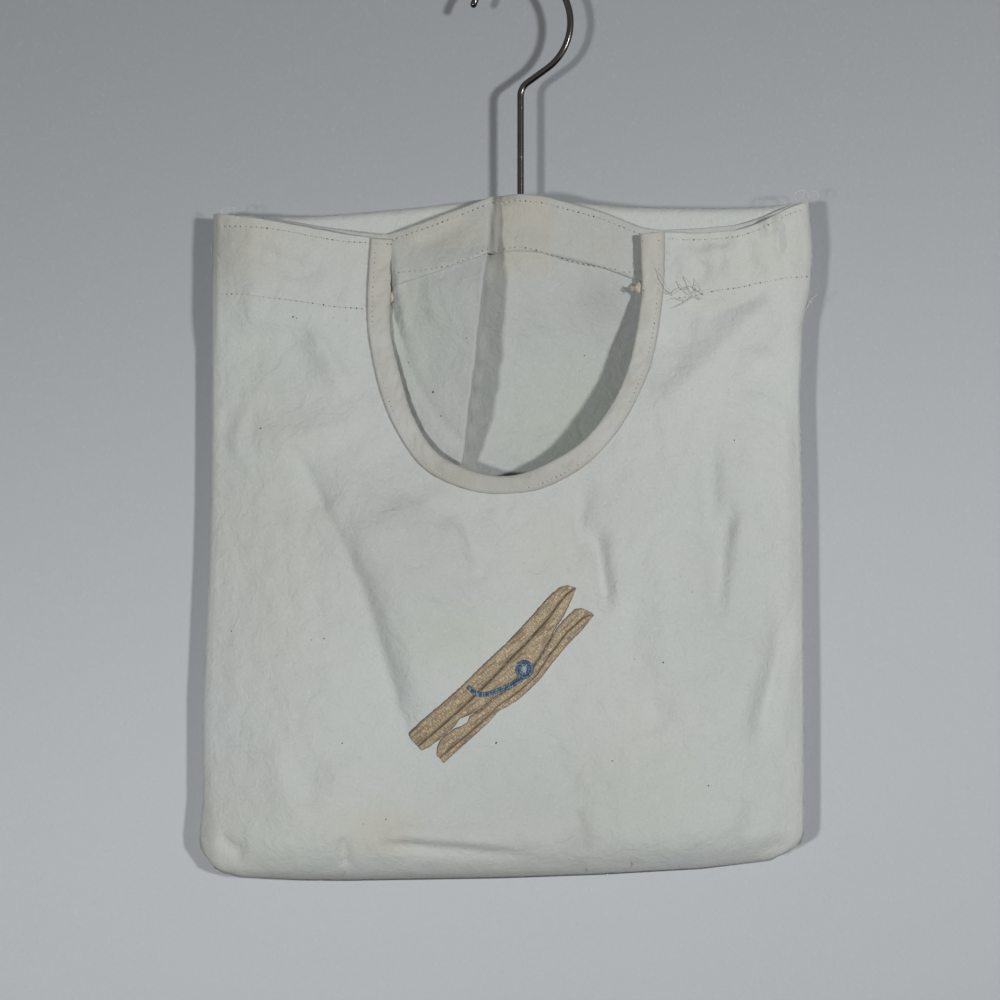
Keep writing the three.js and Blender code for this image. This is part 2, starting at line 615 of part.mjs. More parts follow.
const HOOK_END = -BAR_BOTTOM_DROP - GAP - WASHER_HEIGHT - GAP - RIVET_HEIGHT;

function hook() {
  const radius = WIRE_DIAMETER / 2;
  const ring = new THREE.Shape(new THREE.EllipseCurve(0, 0, radius, radius).getPoints(WIRE_SIDES));
  const line = new HookLine();
  const wire = solid(new THREE.ExtrudeGeometry(ring, { steps: WIRE_STEPS, extrudePath: line }));
  const tip = new THREE.SphereGeometry(radius, WIRE_SIDES, WIRE_SIDES / 2);
  tip.translate(...line.getPoint(0).toArray());
  return wire.add(solid(tip)).add(rod(RIVET_DIAMETER / 2, HOOK_END, HOOK_END + RIVET_HEIGHT));
}

// Embroidery: satin stitch as thin plates on the front panel. The peg lies along its own axis, turned into
// place. Its spring lies on its legs.
function motifPoint([alongShare, acrossShare]) {
  const at = new THREE.Vector2(alongShare, acrossShare).multiplyScalar(MOTIF.length);
  return at.rotateAround(new THREE.Vector2(), MOTIF.turn).add(new THREE.Vector2(MOTIF.x, -MOTIF.drop));
}

function stitched(outline, height) {
  const box = new THREE.Box2().setFromPoints(outline.getPoints());
  const columns = steps(box.min.x - CUT_OVERRUN, box.max.x + CUT_OVERRUN, 8);
  const rows = steps(box.min.y - CUT_OVERRUN, box.max.y + CUT_OVERRUN, 8);
  const low = height + GAP;
  const plate = layer(frontY, low, low + MOTIF.layer, () => columns, rows);
  return plate.intersect(prism(outline, ...THROUGH));
}

const pegLeg = (shares) => stitched(new THREE.Shape(shares.map(motifPoint)), CLOTH / 2);

function pegSpring() {
  const { coilRadius, eyeRadius, strand } = SPRING;
  const height = CLOTH / 2 + GAP + MOTIF.layer;
  const centre = motifPoint(COIL_SHARES);
  const coil = new THREE.Shape().absarc(centre.x, centre.y, coilRadius, 0, 2 * Math.PI);
  coil.holes.push(new THREE.Path().absarc(centre.x, centre.y, eyeRadius, 0, 2 * Math.PI, true));
  const size = { width: strand, thickness: MOTIF.layer };
  return stitched(coil, height).add(threadRow(frontY, ARM_SHARES.map(motifPoint), height, size));
}

// Assembly
const bag = new THREE.Group();
const cloth = new THREE.Group();
cloth.position.x = BAG_SHIFT;
bag.add(cloth);

function place(parent, name, body, material) {
  const mesh = new THREE.Mesh(geometryOf(body), material);
  mesh.name = name;
  parent.add(mesh);
}

place(bag, 'hook', hook(), CHROME);
place(bag, 'hook_ferrule', ferrule(), STEEL);
place(bag, 'hook_washer', washer(), STEEL);
place(bag, 'hanger_bar', hangerBar(), BEECH);
place(cloth, 'back_panel', backPanel(), COTTON);
place(cloth, 'inner_panel', innerPanel(), COTTON);
place(cloth, 'front_panel', frontPanel(), COTTON);
place(cloth, 'mouth_binding', mouthBinding(), BIAS_TAPE);

const frontFace = CLOTH / 2;
const innerHemFace = CLOTH * 3 / 2;
const frontRowStart = MOUTH_HALF_WIDTH + BINDING_WIDTH + GAP;
const rowEnd = (drop, inset) => halfWidth(-TOP_DROP - drop) - inset;
for (const [side, word] of [[-1, 'left'], [1, 'right']]) {
  const edge = (drop) => {
    const end = side * rowEnd(drop, ROW_END_INSET);
    return rowAlong((x) => frontTop(x) - drop, side * frontRowStart, end);
  };
  const topRow = threadRow(frontY, edge(EDGE_STITCH_INSET), frontFace);
  const hemRow = threadRow(frontY, edge(FRONT_HEM - HEM_STITCH_INSET), frontFace);
  place(cloth, `front_${word}_top_stitching`, topRow, COTTON_THREAD);
  place(cloth, `front_${word}_hem_stitching`, hemRow, COTTON_THREAD);
  place(cloth, `${word}_seam_thread`, seamThread(sideSeamRoute(side)), COTTON_THREAD);
}
for (const [name, drop] of [['top', EDGE_STITCH_INSET], ['hem', INNER_HEM - HEM_STITCH_INSET]]) {
  const end = rowEnd(drop, INNER_ROW_END_INSET);
  const edge = rowAlong((x) => innerTop(x) - drop, -end, end);
  place(cloth, `inner_${name}_stitching`, threadRow(innerY, edge, innerHemFace), COTTON_THREAD);
}
place(cloth, 'binding_stitching', bindingRow(), COTTON_THREAD);
place(cloth, 'bottom_seam_thread', seamThread(bottomSeamRoute()), COTTON_THREAD);
const casingDrop = CASING_DEPTH + HEM_STITCH_INSET;
const casingEnd = rowEnd(casingDrop, ROW_END_INSET);
const casingEdge = [-casingEnd, casingEnd].map((x) => new THREE.Vector2(x, -TOP_DROP - casingDrop));
place(cloth, 'casing_stitching', threadRow(() => BACK_PLANE, casingEdge, frontFace), COTTON_THREAD);
place(cloth, 'peg_motif_upper_leg', pegLeg(UPPER_LEG_SHARES), TAN_THREAD);
place(cloth, 'peg_motif_lower_leg', pegLeg(LOWER_LEG_SHARES), TAN_THREAD);
place(cloth, 'peg_motif_spring', pegSpring(), BLUE_THREAD);

export default bag;
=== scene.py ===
import math

import bmesh
import bpy
import numpy as np
from bpy.props import FloatProperty, FloatVectorProperty, PointerProperty
from bpy.types import Operator, Panel, PropertyGroup
from mathutils import Matrix, Vector, noise


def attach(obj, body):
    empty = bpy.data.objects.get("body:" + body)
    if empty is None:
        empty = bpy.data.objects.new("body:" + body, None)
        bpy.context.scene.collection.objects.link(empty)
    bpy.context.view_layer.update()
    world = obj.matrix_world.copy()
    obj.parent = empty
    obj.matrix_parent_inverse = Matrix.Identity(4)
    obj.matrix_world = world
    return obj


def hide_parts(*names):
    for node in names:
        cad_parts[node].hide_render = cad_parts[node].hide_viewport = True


bl_info = {
    "name": "Hanging peg bag",
    "version": (1, 0, 0),
    "blender": (4, 5, 0),
    "location": "3D View > Sidebar > Peg bag",
    "description": "Dresses a cotton peg bag on a swivelling wire hook, over its packed solids",
    "category": "Object",
}

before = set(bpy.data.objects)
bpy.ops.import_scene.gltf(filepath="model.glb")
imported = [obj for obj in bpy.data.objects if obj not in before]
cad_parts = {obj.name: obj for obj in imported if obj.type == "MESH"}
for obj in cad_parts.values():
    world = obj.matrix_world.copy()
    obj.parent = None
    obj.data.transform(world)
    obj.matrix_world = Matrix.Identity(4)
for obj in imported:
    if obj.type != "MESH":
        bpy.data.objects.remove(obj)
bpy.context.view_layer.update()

MM = 0.001

# Measured edges, in millimetres. Heights are below the hook's throat, widths are to the right of it.

# Top edges, left to right: (width, height)
BACK_TOP = [(-172, -135), (-141, -136.6), (-123, -137), (-101, -135.6), (-54, -131.3), (-31, -128.5),
            (-11, -125.4), (3, -125.4), (19, -127.2), (57, -131.5), (101, -132.2), (136, -131.6),
            (150, -129.4), (164, -126.8)]
INNER_TOP = [(-172, -135.6), (-159, -136.3), (-140, -138.5), (-106, -144.1), (-78, -148), (-72, -147.6),
             (-50, -140.5), (-30, -132.8), (-14, -126.6), (-3, -125.2), (12, -126), (44, -134.6),
             (66, -143.5), (76, -145.2), (100, -144.1), (122, -141.9), (136, -137.4), (150, -130.7),
             (163, -127.4)]
FRONT_TOP = [(-172, -134.4), (-166, -135.6), (-144, -139.2), (-122, -143.3), (-95, -148.3), (-75, -150.5),
             (66, -147.2), (80, -146.6), (99, -147.2), (121, -145.5), (135, -140.5), (149, -132.2),
             (160, -128.6)]
BOTTOM = [(-181, -487), (-179, -492), (-176, -498), (-171, -503.6), (-157, -507.4), (-124, -509),
          (-96, -509.2), (-11, -507.8), (45, -505.8), (101, -502.6), (140, -498), (152, -494), (157, -490),
          (160, -484)]

# Side edges, bottom to top: (height, width)
LEFT_EDGE = [(-504, -168), (-502, -172), (-497, -177), (-491, -179.7), (-484, -180.3), (-463, -178.2),
             (-407, -178.2), (-330, -174.6), (-295, -173.6), (-240, -173.2), (-183, -173.2), (-155, -173),
             (-135, -172.2)]
RIGHT_EDGE = [(-495, 146), (-492, 153), (-488, 157.5), (-482, 159.2), (-407, 159.2), (-351, 158.6),
              (-295, 158.1), (-239, 156.6), (-197, 158.5), (-177, 162.5), (-155, 164), (-126, 161.6)]

# The mouth's binding, from its left end round to its right end: outer and inner edge
BINDING_OUTER = [(-83.2, -150), (-84.6, -170), (-85.2, -190), (-83.4, -209.5), (-77, -237), (-66.4, -260.5),
                 (-51.5, -279), (-28, -289.7), (-6, -291.5), (14, -287.8), (36.5, -275), (54.5, -255),
                 (67.6, -230.9), (74.8, -208), (78.6, -179.1), (79.4, -163), (79.5, -147)]
BINDING_INNER = [(-70.9, -151), (-71.6, -170), (-73, -190), (-71.9, -206.5), (-66.4, -228.5), (-59.8, -249),
                 (-46.5, -269.2), (-25, -279.8), (-6.5, -282), (11, -276.8), (31.5, -265), (46, -249),
                 (57.5, -228), (63.8, -205), (67.2, -179.1), (67, -163), (66.3, -147.6)]

BINDING_ROW = 0.24  # share of its width at which the binding is sewn down
TAPE_WIDTH = 26.0
TAPE_FRONT, TAPE_BACK = 0.44, 0.56  # shares of the tape where its front ends and its back starts

# Stitches: the size of a needle hole, how far a row stands off its panel's surface, and how far it runs
# below an edge
NEEDLE_RADIUS = 0.33
HOLE_HEIGHT = 0.14
ON_FRONT = 0.42
ON_INNER = 1.37
UNDER_EDGE = 3.6

# The rows of stitches that show, as (width, height)
LEFT_TOP_ROW = [(-168, -142), (-150, -143.4), (-139, -144.6), (-127, -146.6), (-115, -149), (-99, -151.6),
                (-86, -152.4)]
LEFT_HEM_ROW = [(-170, -180.3), (-157, -180.5), (-145, -182.2), (-133, -183.6), (-115, -186), (-103, -187.8),
                (-88, -189)]
RIGHT_HEM_ROW = [(82, -183.6), (96, -181.8), (109, -178.8), (122, -176.9), (131, -174.8), (140, -173),
                 (149, -171.2), (160, -170.2)]
INNER_HEM_ROW = [(-158, -171.6), (-100, -171), (-67, -169.4), (-45, -167.4), (-35, -164.7), (-27, -161.6),
                 (-19, -157.6), (-5, -154.9), (2, -154.9), (12, -157.2), (22, -160.4), (32, -163.2),
                 (42, -165), (52, -166.5), (63, -168.2), (148, -165)]

# Depths of the layers, as in the solids, and lengths down the cloth
BAG_MIDDLE = -3.0  # the cloth hangs a little to one side of the hook
BACK_PLANE = 5.0
SEAM_DEPTH = 4.3
BAR_REACH = 22.0  # over which the layers part beside the seams
BAND_FOOT, BAND_FADE = -225.0, 37.0
HEM_FOOT = -188.0
MOUTH_FOOT = -290.0
HEM_BULGE, MOUTH_BULGE, FOOT_BULGE = 14.0, 24.0, 28.0
CASING_DEPTH = 41.0
FRONT_HEM = 38.0
INNER_HEM = 31.0
FRONT_HEM_GAP, INNER_HEM_GAP = 1.15, 0.95  # between a panel and its turned hem
BACK_LENGTH = 373.0
INNER_LENGTH = 368.0
FRONT_LENGTH = 366.0
WIDEST = (-172.0, 162.0)  # the side edges at the top, where a search for a point's place starts

# Folds of the front panel: height towards the viewer, reach on the right of the line, reach on its left, and
# the line from its top down. For a line that runs to the right, right and left stand for above and below.
FRONT_FOLDS = [
    # the long fold from the left hem to the peg, the crease at its left foot, and its branch
    (8, 45, 16, [(-107, -270), (-98, -288), (-71, -343), (-54, -398), (-48, -420), (-41, -446)]),
    (-1.6, 3, 5, [(-130, -258), (-118, -278.6), (-86.8, -341.4), (-73, -386), (-63.4, -420.6), (-52.4, -448)]),
    (-2.6, 8, 12, [(-128, -260), (-117, -279), (-86.5, -341.4), (-73, -386), (-63.4, -420.6), (-54, -445)]),
    (-0.8, 3, 6, [(-128, -262), (-116, -282), (-105, -306), (-94, -327)]),
    (3.0, 26, 20, [(-84, -286), (-57, -343), (-41, -395), (-35, -428)]),
    (2.7, 6, 9, [(-112, -295), (-102, -314), (-95, -334)]),
    # the left hem and what hangs from it
    (-3.5, 3.5, 6, [(-155, -153), (-143, -158), (-130, -164), (-119, -168), (-108, -168)]),
    (3.2, 4, 10, [(-122, -195), (-114, -204), (-107, -214), (-99, -227), (-93, -239)]),
    (-3.0, 9, 12, [(-161, -199), (-143, -205), (-122, -207), (-105, -206)]),
    (2.4, 10, 4, [(-159, -255), (-143, -264), (-124, -262), (-105, -256), (-87, -252), (-75, -249)]),
    (-1.2, 10, 10, [(-123, -266), (-115, -284), (-105, -302)]),
    (-2.2, 14, 20, [(-75, -258), (-61, -278), (-53, -298)]),
    # under the mouth, from left to right
    (3.2, 4, 9, [(-40, -302), (-36, -314), (-32, -326), (-28, -336)]),
    (-1.6, 4, 4, [(-30, -335), (-24, -336), (-17, -335)]),
    (1.8, 12, 6, [(-91, -315), (-75, -312), (-58, -309), (-46, -306)]),
    (1.8, 9, 7.5, [(-9, -297), (-13, -306), (-17, -317), (-19, -328)]),
    (1.9, 6, 12, [(5, -294), (-2, -299), (-9, -305)]),
    (1.5, 7.5, 7.5, [(1, -306), (-4, -317), (-7, -328), (-8, -342)]),
    (-3.8, 7, 6, [(33, -280), (33, -293), (32, -306), (33, -318), (36, -332)]),
    (-4.8, 5, 4.5, [(41, -302), (42, -316), (44, -330), (46, -345), (47, -362)]),
    (1.2, 6, 7, [(48, -306), (50, -321), (52, -336), (54, -350)]),
    # from the mouth to the right seam
    (5.2, 9, 16, [(66, -252), (78, -241), (92, -230), (107, -216), (123, -201), (140, -188), (151, -182)]),
    (-3.4, 6, 8, [(71, -214), (83, -203), (99, -191), (115, -183), (133, -177), (150, -172)]),
    (1.6, 6, 6, [(81, -201), (93, -197), (105, -194)]),
    (-1.5, 6, 6, [(78, -214), (88, -209), (99, -204)]),
    # the right hem
    (-3.0, 5, 4, [(83, -155), (89, -152), (99, -151), (110, -151), (121, -151)]),
    (2.2, 5, 4, [(99, -164), (105, -158), (112, -156)]),
    (-2.0, 4, 4, [(95, -177), (99, -169), (105, -164)]),
    (-4.1, 3, 3.5, [(142, -134), (144, -142), (145, -152), (144, -161)]),
    (3.0, 4, 4, [(136, -133), (138, -142), (139, -150)]),
    (-2.2, 4, 4, [(133, -164), (130, -171), (127, -177)]),
    # the right side, from top to bottom
    (-2.4, 7.5, 9, [(137, -207), (133, -219), (127, -232), (125, -241)]),
    (-4.4, 6, 8, [(104, -258), (105, -276), (105, -294), (103, -312), (101, -330)]),
    (4.2, 34, 22, [(140, -215), (137, -255), (134, -300), (133, -345), (136, -385)]),
    (-4.6, 5, 7, [(117, -288), (115, -304), (112, -320), (110, -336), (109, -352), (110, -370)]),
    (1.6, 6, 6, [(125, -286), (123, -302), (120, -318), (118, -336)]),
    (1.6, 6, 6, [(133, -300), (130, -320), (127, -340)]),
    (-4.9, 5.5, 7, [(146, -352), (144, -369), (141, -386), (137, -402), (134, -417), (132, -436)]),
    (4.6, 10, 22, [(140, -361), (133, -383), (125, -405), (118, -424), (114, -444)]),
    (2.2, 9, 9, [(151, -372), (149, -394), (146, -416), (144, -438)]),
    # round the peg and along the foot
    (-2.6, 10.5, 12, [(60, -343), (61, -358), (61, -372), (64, -388), (63, -400)]),
    (-2.2, 8, 10, [(69, -400), (74, -412), (79, -424)]),
    (-2.2, 12, 12, [(5, -430), (13, -438), (23, -446), (28, -457), (26, -467)]),
    (-3.4, 6, 9, [(26, -460), (29, -470), (33, -481), (36, -494)]),
    (-3.5, 3, 4, [(-98, -478), (-97, -488), (-97, -500)]),
    (-3.2, 3, 5, [(-86, -485), (-67, -484), (-45, -486), (-23, -488), (-3, -490), (13, -490)]),
    (2.7, 8, 3, [(-82, -481), (-61, -479), (-39, -481), (-17, -483), (2, -485)]),
    (3.0, 6, 12, [(-139, -422), (-134, -438), (-128, -455), (-123, -468), (-121, -479)]),
    (-1.9, 10.5, 10.5, [(-125, -430), (-122, -444), (-116, -457), (-113, -468)]),
    (1.5, 12, 12, [(-93, -430), (-94, -446), (-93, -460)]),
    (-1.5, 12, 12, [(-105, -416), (-101, -433), (-97, -446)]),
    (-2.2, 9, 9, [(130, -455), (127, -468), (126, -482)]),
    (1.9, 10.5, 10.5, [(121, -455), (118, -468), (117, -481)]),
    # the left edge and the corners
    (1.0, 10, 8, [(-165, -266), (-156, -261), (-149, -258)]),
    (-0.9, 10, 8, [(-169, -247), (-162, -251), (-155, -253)]),
    (-3.0, 4, 5, [(-170, -481), (-161, -488), (-151, -492)]),
    (-2.7, 4, 5, [(132, -492), (142, -489), (151, -486)]),
    # small creases in the right hem
    (-1.5, 3, 3, [(96, -149), (103, -159), (100, -171)]),
    (1.8, 3.5, 3, [(110, -151), (116, -162), (113, -173)]),
    (-1.5, 3, 3, [(122, -148), (127, -159), (125, -169)]),
    (1.5, 3, 3, [(86, -157), (92, -167), (89, -178)]),
]

# Folds of the inner panel, seen through the mouth: its right half, its hems, its left half
INNER_FOLDS = [
    (-1.8, 6, 5, [(14, -125), (17, -139), (19, -155), (21, -172), (23, -190), (25, -208)]),
    (-2.4, 10, 6, [(25, -143), (39, -148), (53, -152)]),
    (-3.0, 12, 14, [(28, -176), (39, -182), (51, -184)]),
    (-2.2, 10, 10, [(-69, -176), (-59, -180), (-50, -179)]),
    (-1.4, 4, 5, [(-65, -196), (-56, -195), (-47, -192)]),
    (1.8, 8, 4, [(-65, -151), (-54, -145), (-41, -139), (-28, -134)]),
    (-1.6, 5, 6, [(-62, -153), (-50, -151), (-38, -145), (-31, -142)]),
    (-1.6, 2.5, 3, [(-5, -158), (-5, -169), (-5, -180)]),
]

# The inner panel's deep fold: height below the throat, where its edge runs, and how far it stands out
DEEP_FOLD = [(-120, -14.6, 7), (-127, -14.8, 8), (-140, -16.4, 10.5), (-150, -17.6, 12.5), (-157, -18.2, 15),
             (-163, -18.8, 18), (-168, -19.2, 20), (-177, -20, 23), (-190, -21.6, 25.5), (-205, -23.8, 26.5),
             (-239, -27.1, 26), (-262, -30.4, 23.5), (-280, -33, 19), (-320, -40, 8), (-350, -44, 0)]


# Curves and surfaces

def smooth(t):
    t = np.clip(t, 0, 1)
    return t * t * (3 - 2 * t)


def hill(t):
    """1 at 0, falling to nothing past 2 on either side."""
    return np.exp(-t**2)


def lerp(a, b, t):
    return a + (b - a) * t


def edge(points, spread):
    """An edge through measured points, rounded over spread mm."""
    at, value = np.array(points, float).T
    shares = ((-1, 0.12), (-0.5, 0.22), (0, 0.32), (0.5, 0.22), (1, 0.12))

    def along(x):
        return sum(share * np.interp(x + step * spread, at, value) for step, share in shares)
    return along


back_top = edge(BACK_TOP, 9)
inner_top = edge(INNER_TOP, 4)
front_top = edge(FRONT_TOP, 5)
bottom_edge = edge(BOTTOM, 2)
left_edge = edge(LEFT_EDGE, 2)
right_edge = edge(RIGHT_EDGE, 2)


def inset(x, z):
    """How far a point is from the nearer side edge."""
    return np.maximum(np.minimum(x - left_edge(z), right_edge(z) - x), 0)


def crumple(x, z, seed):
    """The small uneven waves of handled cotton, in mm."""
    flat = zip(np.ravel(x), np.ravel(z))
    waves = [
        0.5 * noise.noise((a / 52, b / 68, seed))
        + 0.5 * noise.noise((a / 23 + b / 90, b / 29, seed + 7))
        - 0.7 * abs(noise.noise((a / 36 - b / 80, b / 44, seed + 3)))
        + 0.5 * noise.noise((a / 9, b / 12, seed + 11))
        - 0.7 * abs(noise.noise((a / 15 + b / 40, b / 19 - a / 60, seed + 17)))
        for a, b in flat
    ]
    return np.reshape(np.array(waves), np.shape(x)) + 0.2


def folds(x, z, rows):
    """The height of all named folds at each point, in mm."""
    height = np.zeros(np.shape(x))
    for rise, reach_right, reach_left, line in rows:
        line = np.array(line, float)
        lengths = np.hypot(*np.diff(line, axis=0).T)
        total = lengths.sum()
        nearest = np.full(np.shape(x), 1e9)
        side = np.zeros(np.shape(x))
        share = np.zeros(np.shape(x))
        run = 0.0
        for start, end, length in zip(line[:-1], line[1:], lengths):
            along = (end - start) / length
            dx, dz = x - start[0], z - start[1]
            t = np.clip(dx * along[0] + dz * along[1], 0, length)
            away = np.hypot(dx - t * along[0], dz - t * along[1])
            closer = away < nearest
            nearest = np.where(closer, away, nearest)
            side = np.where(closer, along[0] * dz - along[1] * dx, side)
            share = np.where(closer, (run + t) / total, share)
            run += length
        reach = lerp(reach_left, reach_right, smooth((side + 1) / 2))
        fade = smooth(share / 0.3) * smooth((1 - share) / 0.3)
        height += rise * fade * hill(nearest / reach)
    return height


def parting(x, z):
    """0 at the sides, where the layers are sewn together, 1 where the bar holds them apart."""
    return smooth(inset(x, z) / BAR_REACH)


def band(z):
    """1 where the layers lie in front of the casing, fading to 0 below it."""
    return smooth((z - BAND_FOOT) / BAND_FADE)


def casing_y(x, z):
    """The casing's front, over the bar."""
    return lerp(3.7, -5, parting(x, z))


def sewn(x, z, y, seam_y):
    """Draws a layer to the seam at the sides and the bottom."""
    near = np.minimum(inset(x, z), np.maximum(z - bottom_edge(x), 0) * 0.75)
    return lerp(seam_y, y, smooth(near / 3.5) * 0.6 + 0.4 * np.clip(near / 3.5, 0, 1))


def inner_flat_y(x, z):
    """The inner panel without its folds: over the casing in the band, near the back below it."""
    in_band = casing_y(x, z) - 1.5 - 0.5 * parting(x, z)
    return lerp(3.3, in_band, smooth((z + 217) / 43))


def fold_edge(z):
    """Where the deep fold's edge runs, and how far it stands out."""
    heights, widths, rises = np.array(DEEP_FOLD[::-1], float).T
    return np.interp(z, heights, widths) + 0.5 * np.sin(z / 9.0), np.interp(z, heights, rises)


def deep_fold(x, z):
    """The inner panel's deep fold: its left part stands out and ends in a sharp edge."""
    at, rise = fold_edge(z)
    left = np.clip((x - at + 90) / 90, 0, 1)
    right = (1 - np.clip((x - at - 0.4) / 3.3, 0, 1)) ** 1.35
    crest = np.where(x < at, left, right)
    hem = smooth((z + 172) / 14)
    valley = 2.4 * hill((x - at - 19) / 10) - 1.0 * hill((x - at - 3.5) / 3)
    swell = 1.2 * hill((x - at - 32) / 12)
    return rise * crest + lerp(swell, valley, hem)


def overhang(x, z):
    """How far the deep fold's cliff is tucked in under its edge."""
    at, rise = fold_edge(z)
    return 3.2 * np.clip(rise / 4, 0, 1) * hill((x - at - 3.0) / 2.4)


def fold_shade(x, z):
    """Painted shade in the deep fold: a dark line under its edge, and in the hem a painted shadow fading away
    from it.
    """
    at, rise = fold_edge(z)
    inside = np.clip(x - at - 0.4, 0, None)
    hem = smooth((z + 165) / 8) * smooth(inside / 0.8) * np.exp(-np.clip(inside - 2.5, 0, None) / 5)
    return (1 - smooth((-285 - z) / 20)) * (0.45 * hill((x - at - 2.2) / 2.0) + 0.25 * hem)


def inner_y(x, z):
    """The inner panel, folded, but never through the front panel or the casing."""
    calm = smooth((inset(x, z) - 4) / 20)
    stand = deep_fold(x, z) + calm * (folds(x, z, INNER_FOLDS) + 0.9 * crumple(x, z, 31.0))
    room = np.clip((inner_flat_y(x, z) - front_base_y(x, z) - 2.4), 0.2, None)
    under_front = smooth((np.hypot((x - BAG_MIDDLE) / 78, (z + 150) / 140) - 0.78) / 0.12)
    stand = np.where(stand > 0, np.minimum(stand, lerp(30, room, under_front)), stand)
    # It leans towards the viewer at the mouth's foot
    lean = 9 * np.clip((-248 - z) / 36, 0, 1) ** 1.3 * (1 - smooth((MOUTH_FOOT - z) / 60))
    stand = np.maximum(stand, np.minimum(lean, 0.98 * room))
    floor = lerp(-0.3, -1.2, band(z))
    return sewn(x, z, inner_flat_y(x, z) - np.maximum(stand, floor), 4.4)


def belly(z):
    """How far the front panel bulges at each height: a little at the hem, most under the mouth."""
    below_hem = smooth((HEM_FOOT - z) / (HEM_FOOT - MOUTH_FOOT))
    return HEM_BULGE + (MOUTH_BULGE - HEM_BULGE) * below_hem + (FOOT_BULGE - MOUTH_BULGE) * smooth(
        (MOUTH_FOOT - z) / 90)


def front_base_y(x, z):
    """The front panel without its folds: its bulge, and its flat band in front of the casing."""
    side = inset(x, z)
    from_side = 1 - (1 - np.minimum(side / 80, 1)) ** 1.8
    from_bottom = 1 - (1 - np.clip((z - bottom_edge(x)) / 36, 0, 1)) ** 2.4
    low = BACK_PLANE - 2.6 - belly(z) * from_side * from_bottom
    high = -1.6 - 8.6 * np.minimum(side / 24, 1) - 2.7 * smooth(side / 50)
    return lerp(low, high, band(z))


def front_y(x, z):
    """The front panel with its folds and the dip along its hem's stitches."""
    calm = smooth((inset(x, z) - 1) / 9) * smooth((z - bottom_edge(x)) / 9)
    stand = calm * (folds(x, z, FRONT_FOLDS) + 1.1 * crumple(x, z, 5.0))
    row = front_top(x) - FRONT_HEM + 2
    stand = stand - 0.45 * hill((z - row) / 1.6)
    stand = np.maximum(stand, lerp(-5, -2.0, band(z)))
    return sewn(x, z, front_base_y(x, z) - stand, 3.9)


def evenly(route, pitch):
    """Points at a steady pitch along a route, and the direction there."""
    route = np.array(route, float)
    run = np.concatenate([[0], np.cumsum(np.linalg.norm(np.diff(route, axis=0), axis=1))])
    count = max(int(run[-1] / pitch), 1)
    at = (np.arange(count) + 0.5) * run[-1] / count
    spots = np.stack([np.interp(at, run, c) for c in route.T], axis=1)
    ahead = np.stack([np.interp(at + 0.3, run, c) - np.interp(at - 0.3, run, c) for c in route.T], axis=1)
    return spots, ahead / np.linalg.norm(ahead, axis=1)[:, None]


def flowing(points, count):
    """A smooth route through a few points."""
    p = np.array(points, float)
    p = np.vstack([2 * p[0] - p[1], p, 2 * p[-1] - p[-2]])
    t = np.linspace(0, len(points) - 1, count)
    i = np.minimum(t.astype(int), len(points) - 2)
    f = (t - i)[:, None]
    a, b, c, d = p[i], p[i + 1], p[i + 2], p[i + 3]
    return 0.5 * (2 * b + (c - a) * f + (2 * a - 5 * b + 4 * c - d) * f**2 + (3 * b - a - 3 * c + d) * f**3)


MOUTH_MIDDLE = flowing((np.array(BINDING_OUTER) + np.array(BINDING_INNER)) / 2, 120)


def inside_mouth(x, z):
    """True where the front panel is cut away, up to the middle of the binding."""
    line = np.vstack([MOUTH_MIDDLE[0] + (0, 40), MOUTH_MIDDLE, MOUTH_MIDDLE[-1] + (0, 40)])
    inside = np.zeros(np.shape(x), bool)
    for (x0, z0), (x1, z1) in zip(line, np.roll(line, -1, axis=0)):
        if z0 != z1:
            crosses = ((z0 > z) != (z1 > z)) & (x < (x1 - x0) * (z - z0) / (z1 - z0) + x0)
            inside ^= crosses
    return inside


# Modelling

def spot(*place):
    """A place in mm as a vector in metres."""
    return Vector(place) * MM


def depth(surface, x, z):
    """A surface's depth at one point."""
    return float(surface(np.array([x]), np.array([z]))[0])


def finished(mesh, name, materials, replaces=(), body="bag"):
    """Turns the modelled mesh into a piece that rides on its body."""
    data = bpy.data.meshes.new(name)
    mesh.to_mesh(data)
    mesh.free()
    for material in materials:
        data.materials.append(material)
    data.shade_smooth()
    piece = bpy.data.objects.new(name, data)
    bpy.context.collection.objects.link(piece)
    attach(piece, body)
    if replaces:
        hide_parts(*replaces)
    return piece


def thicken(piece, thickness, offset=0):
    """Gives a sheet its thickness in metres: to both sides, or inwards where offset is -1."""
    wall = piece.modifiers.new("Thickness", "SOLIDIFY")
    wall.thickness = thickness
    wall.offset = offset


def painted_grid(mesh, columns, rows, layer):
    """A grid of squares that can be painted: its vertices, and how far across and up each is, from 0 to 1."""
    for layers, name in ((mesh.loops.layers.uv, "cloth"), (mesh.verts.layers.float_color, layer)):
        if name not in layers.keys():
            layers.new(name)
    verts = bmesh.ops.create_grid(mesh, x_segments=columns, y_segments=rows, size=1)["verts"]
    across, up = (np.array([v.co for v in verts])[:, :2].T + 1) / 2
    return verts, across, up


def lay_out(mesh, verts, places, layer, paint, cloth):
    """Puts a grid's vertices at their places in mm, paints them, and notes where they lie on the flat cloth."""
    uv = mesh.loops.layers.uv["cloth"]
    colours = mesh.verts.layers.float_color[layer]
    where = {}
    for vertex, place, colour, flat in zip(verts, zip(*places), paint, zip(*cloth)):
        vertex.co = spot(*place)
        vertex[colours] = (*colour, 1)
        where[vertex] = spot(*flat)
    for face in {f for v in verts for f in v.link_faces}:
        for loop in face.loops:
            loop[uv].uv = where[loop.vert]


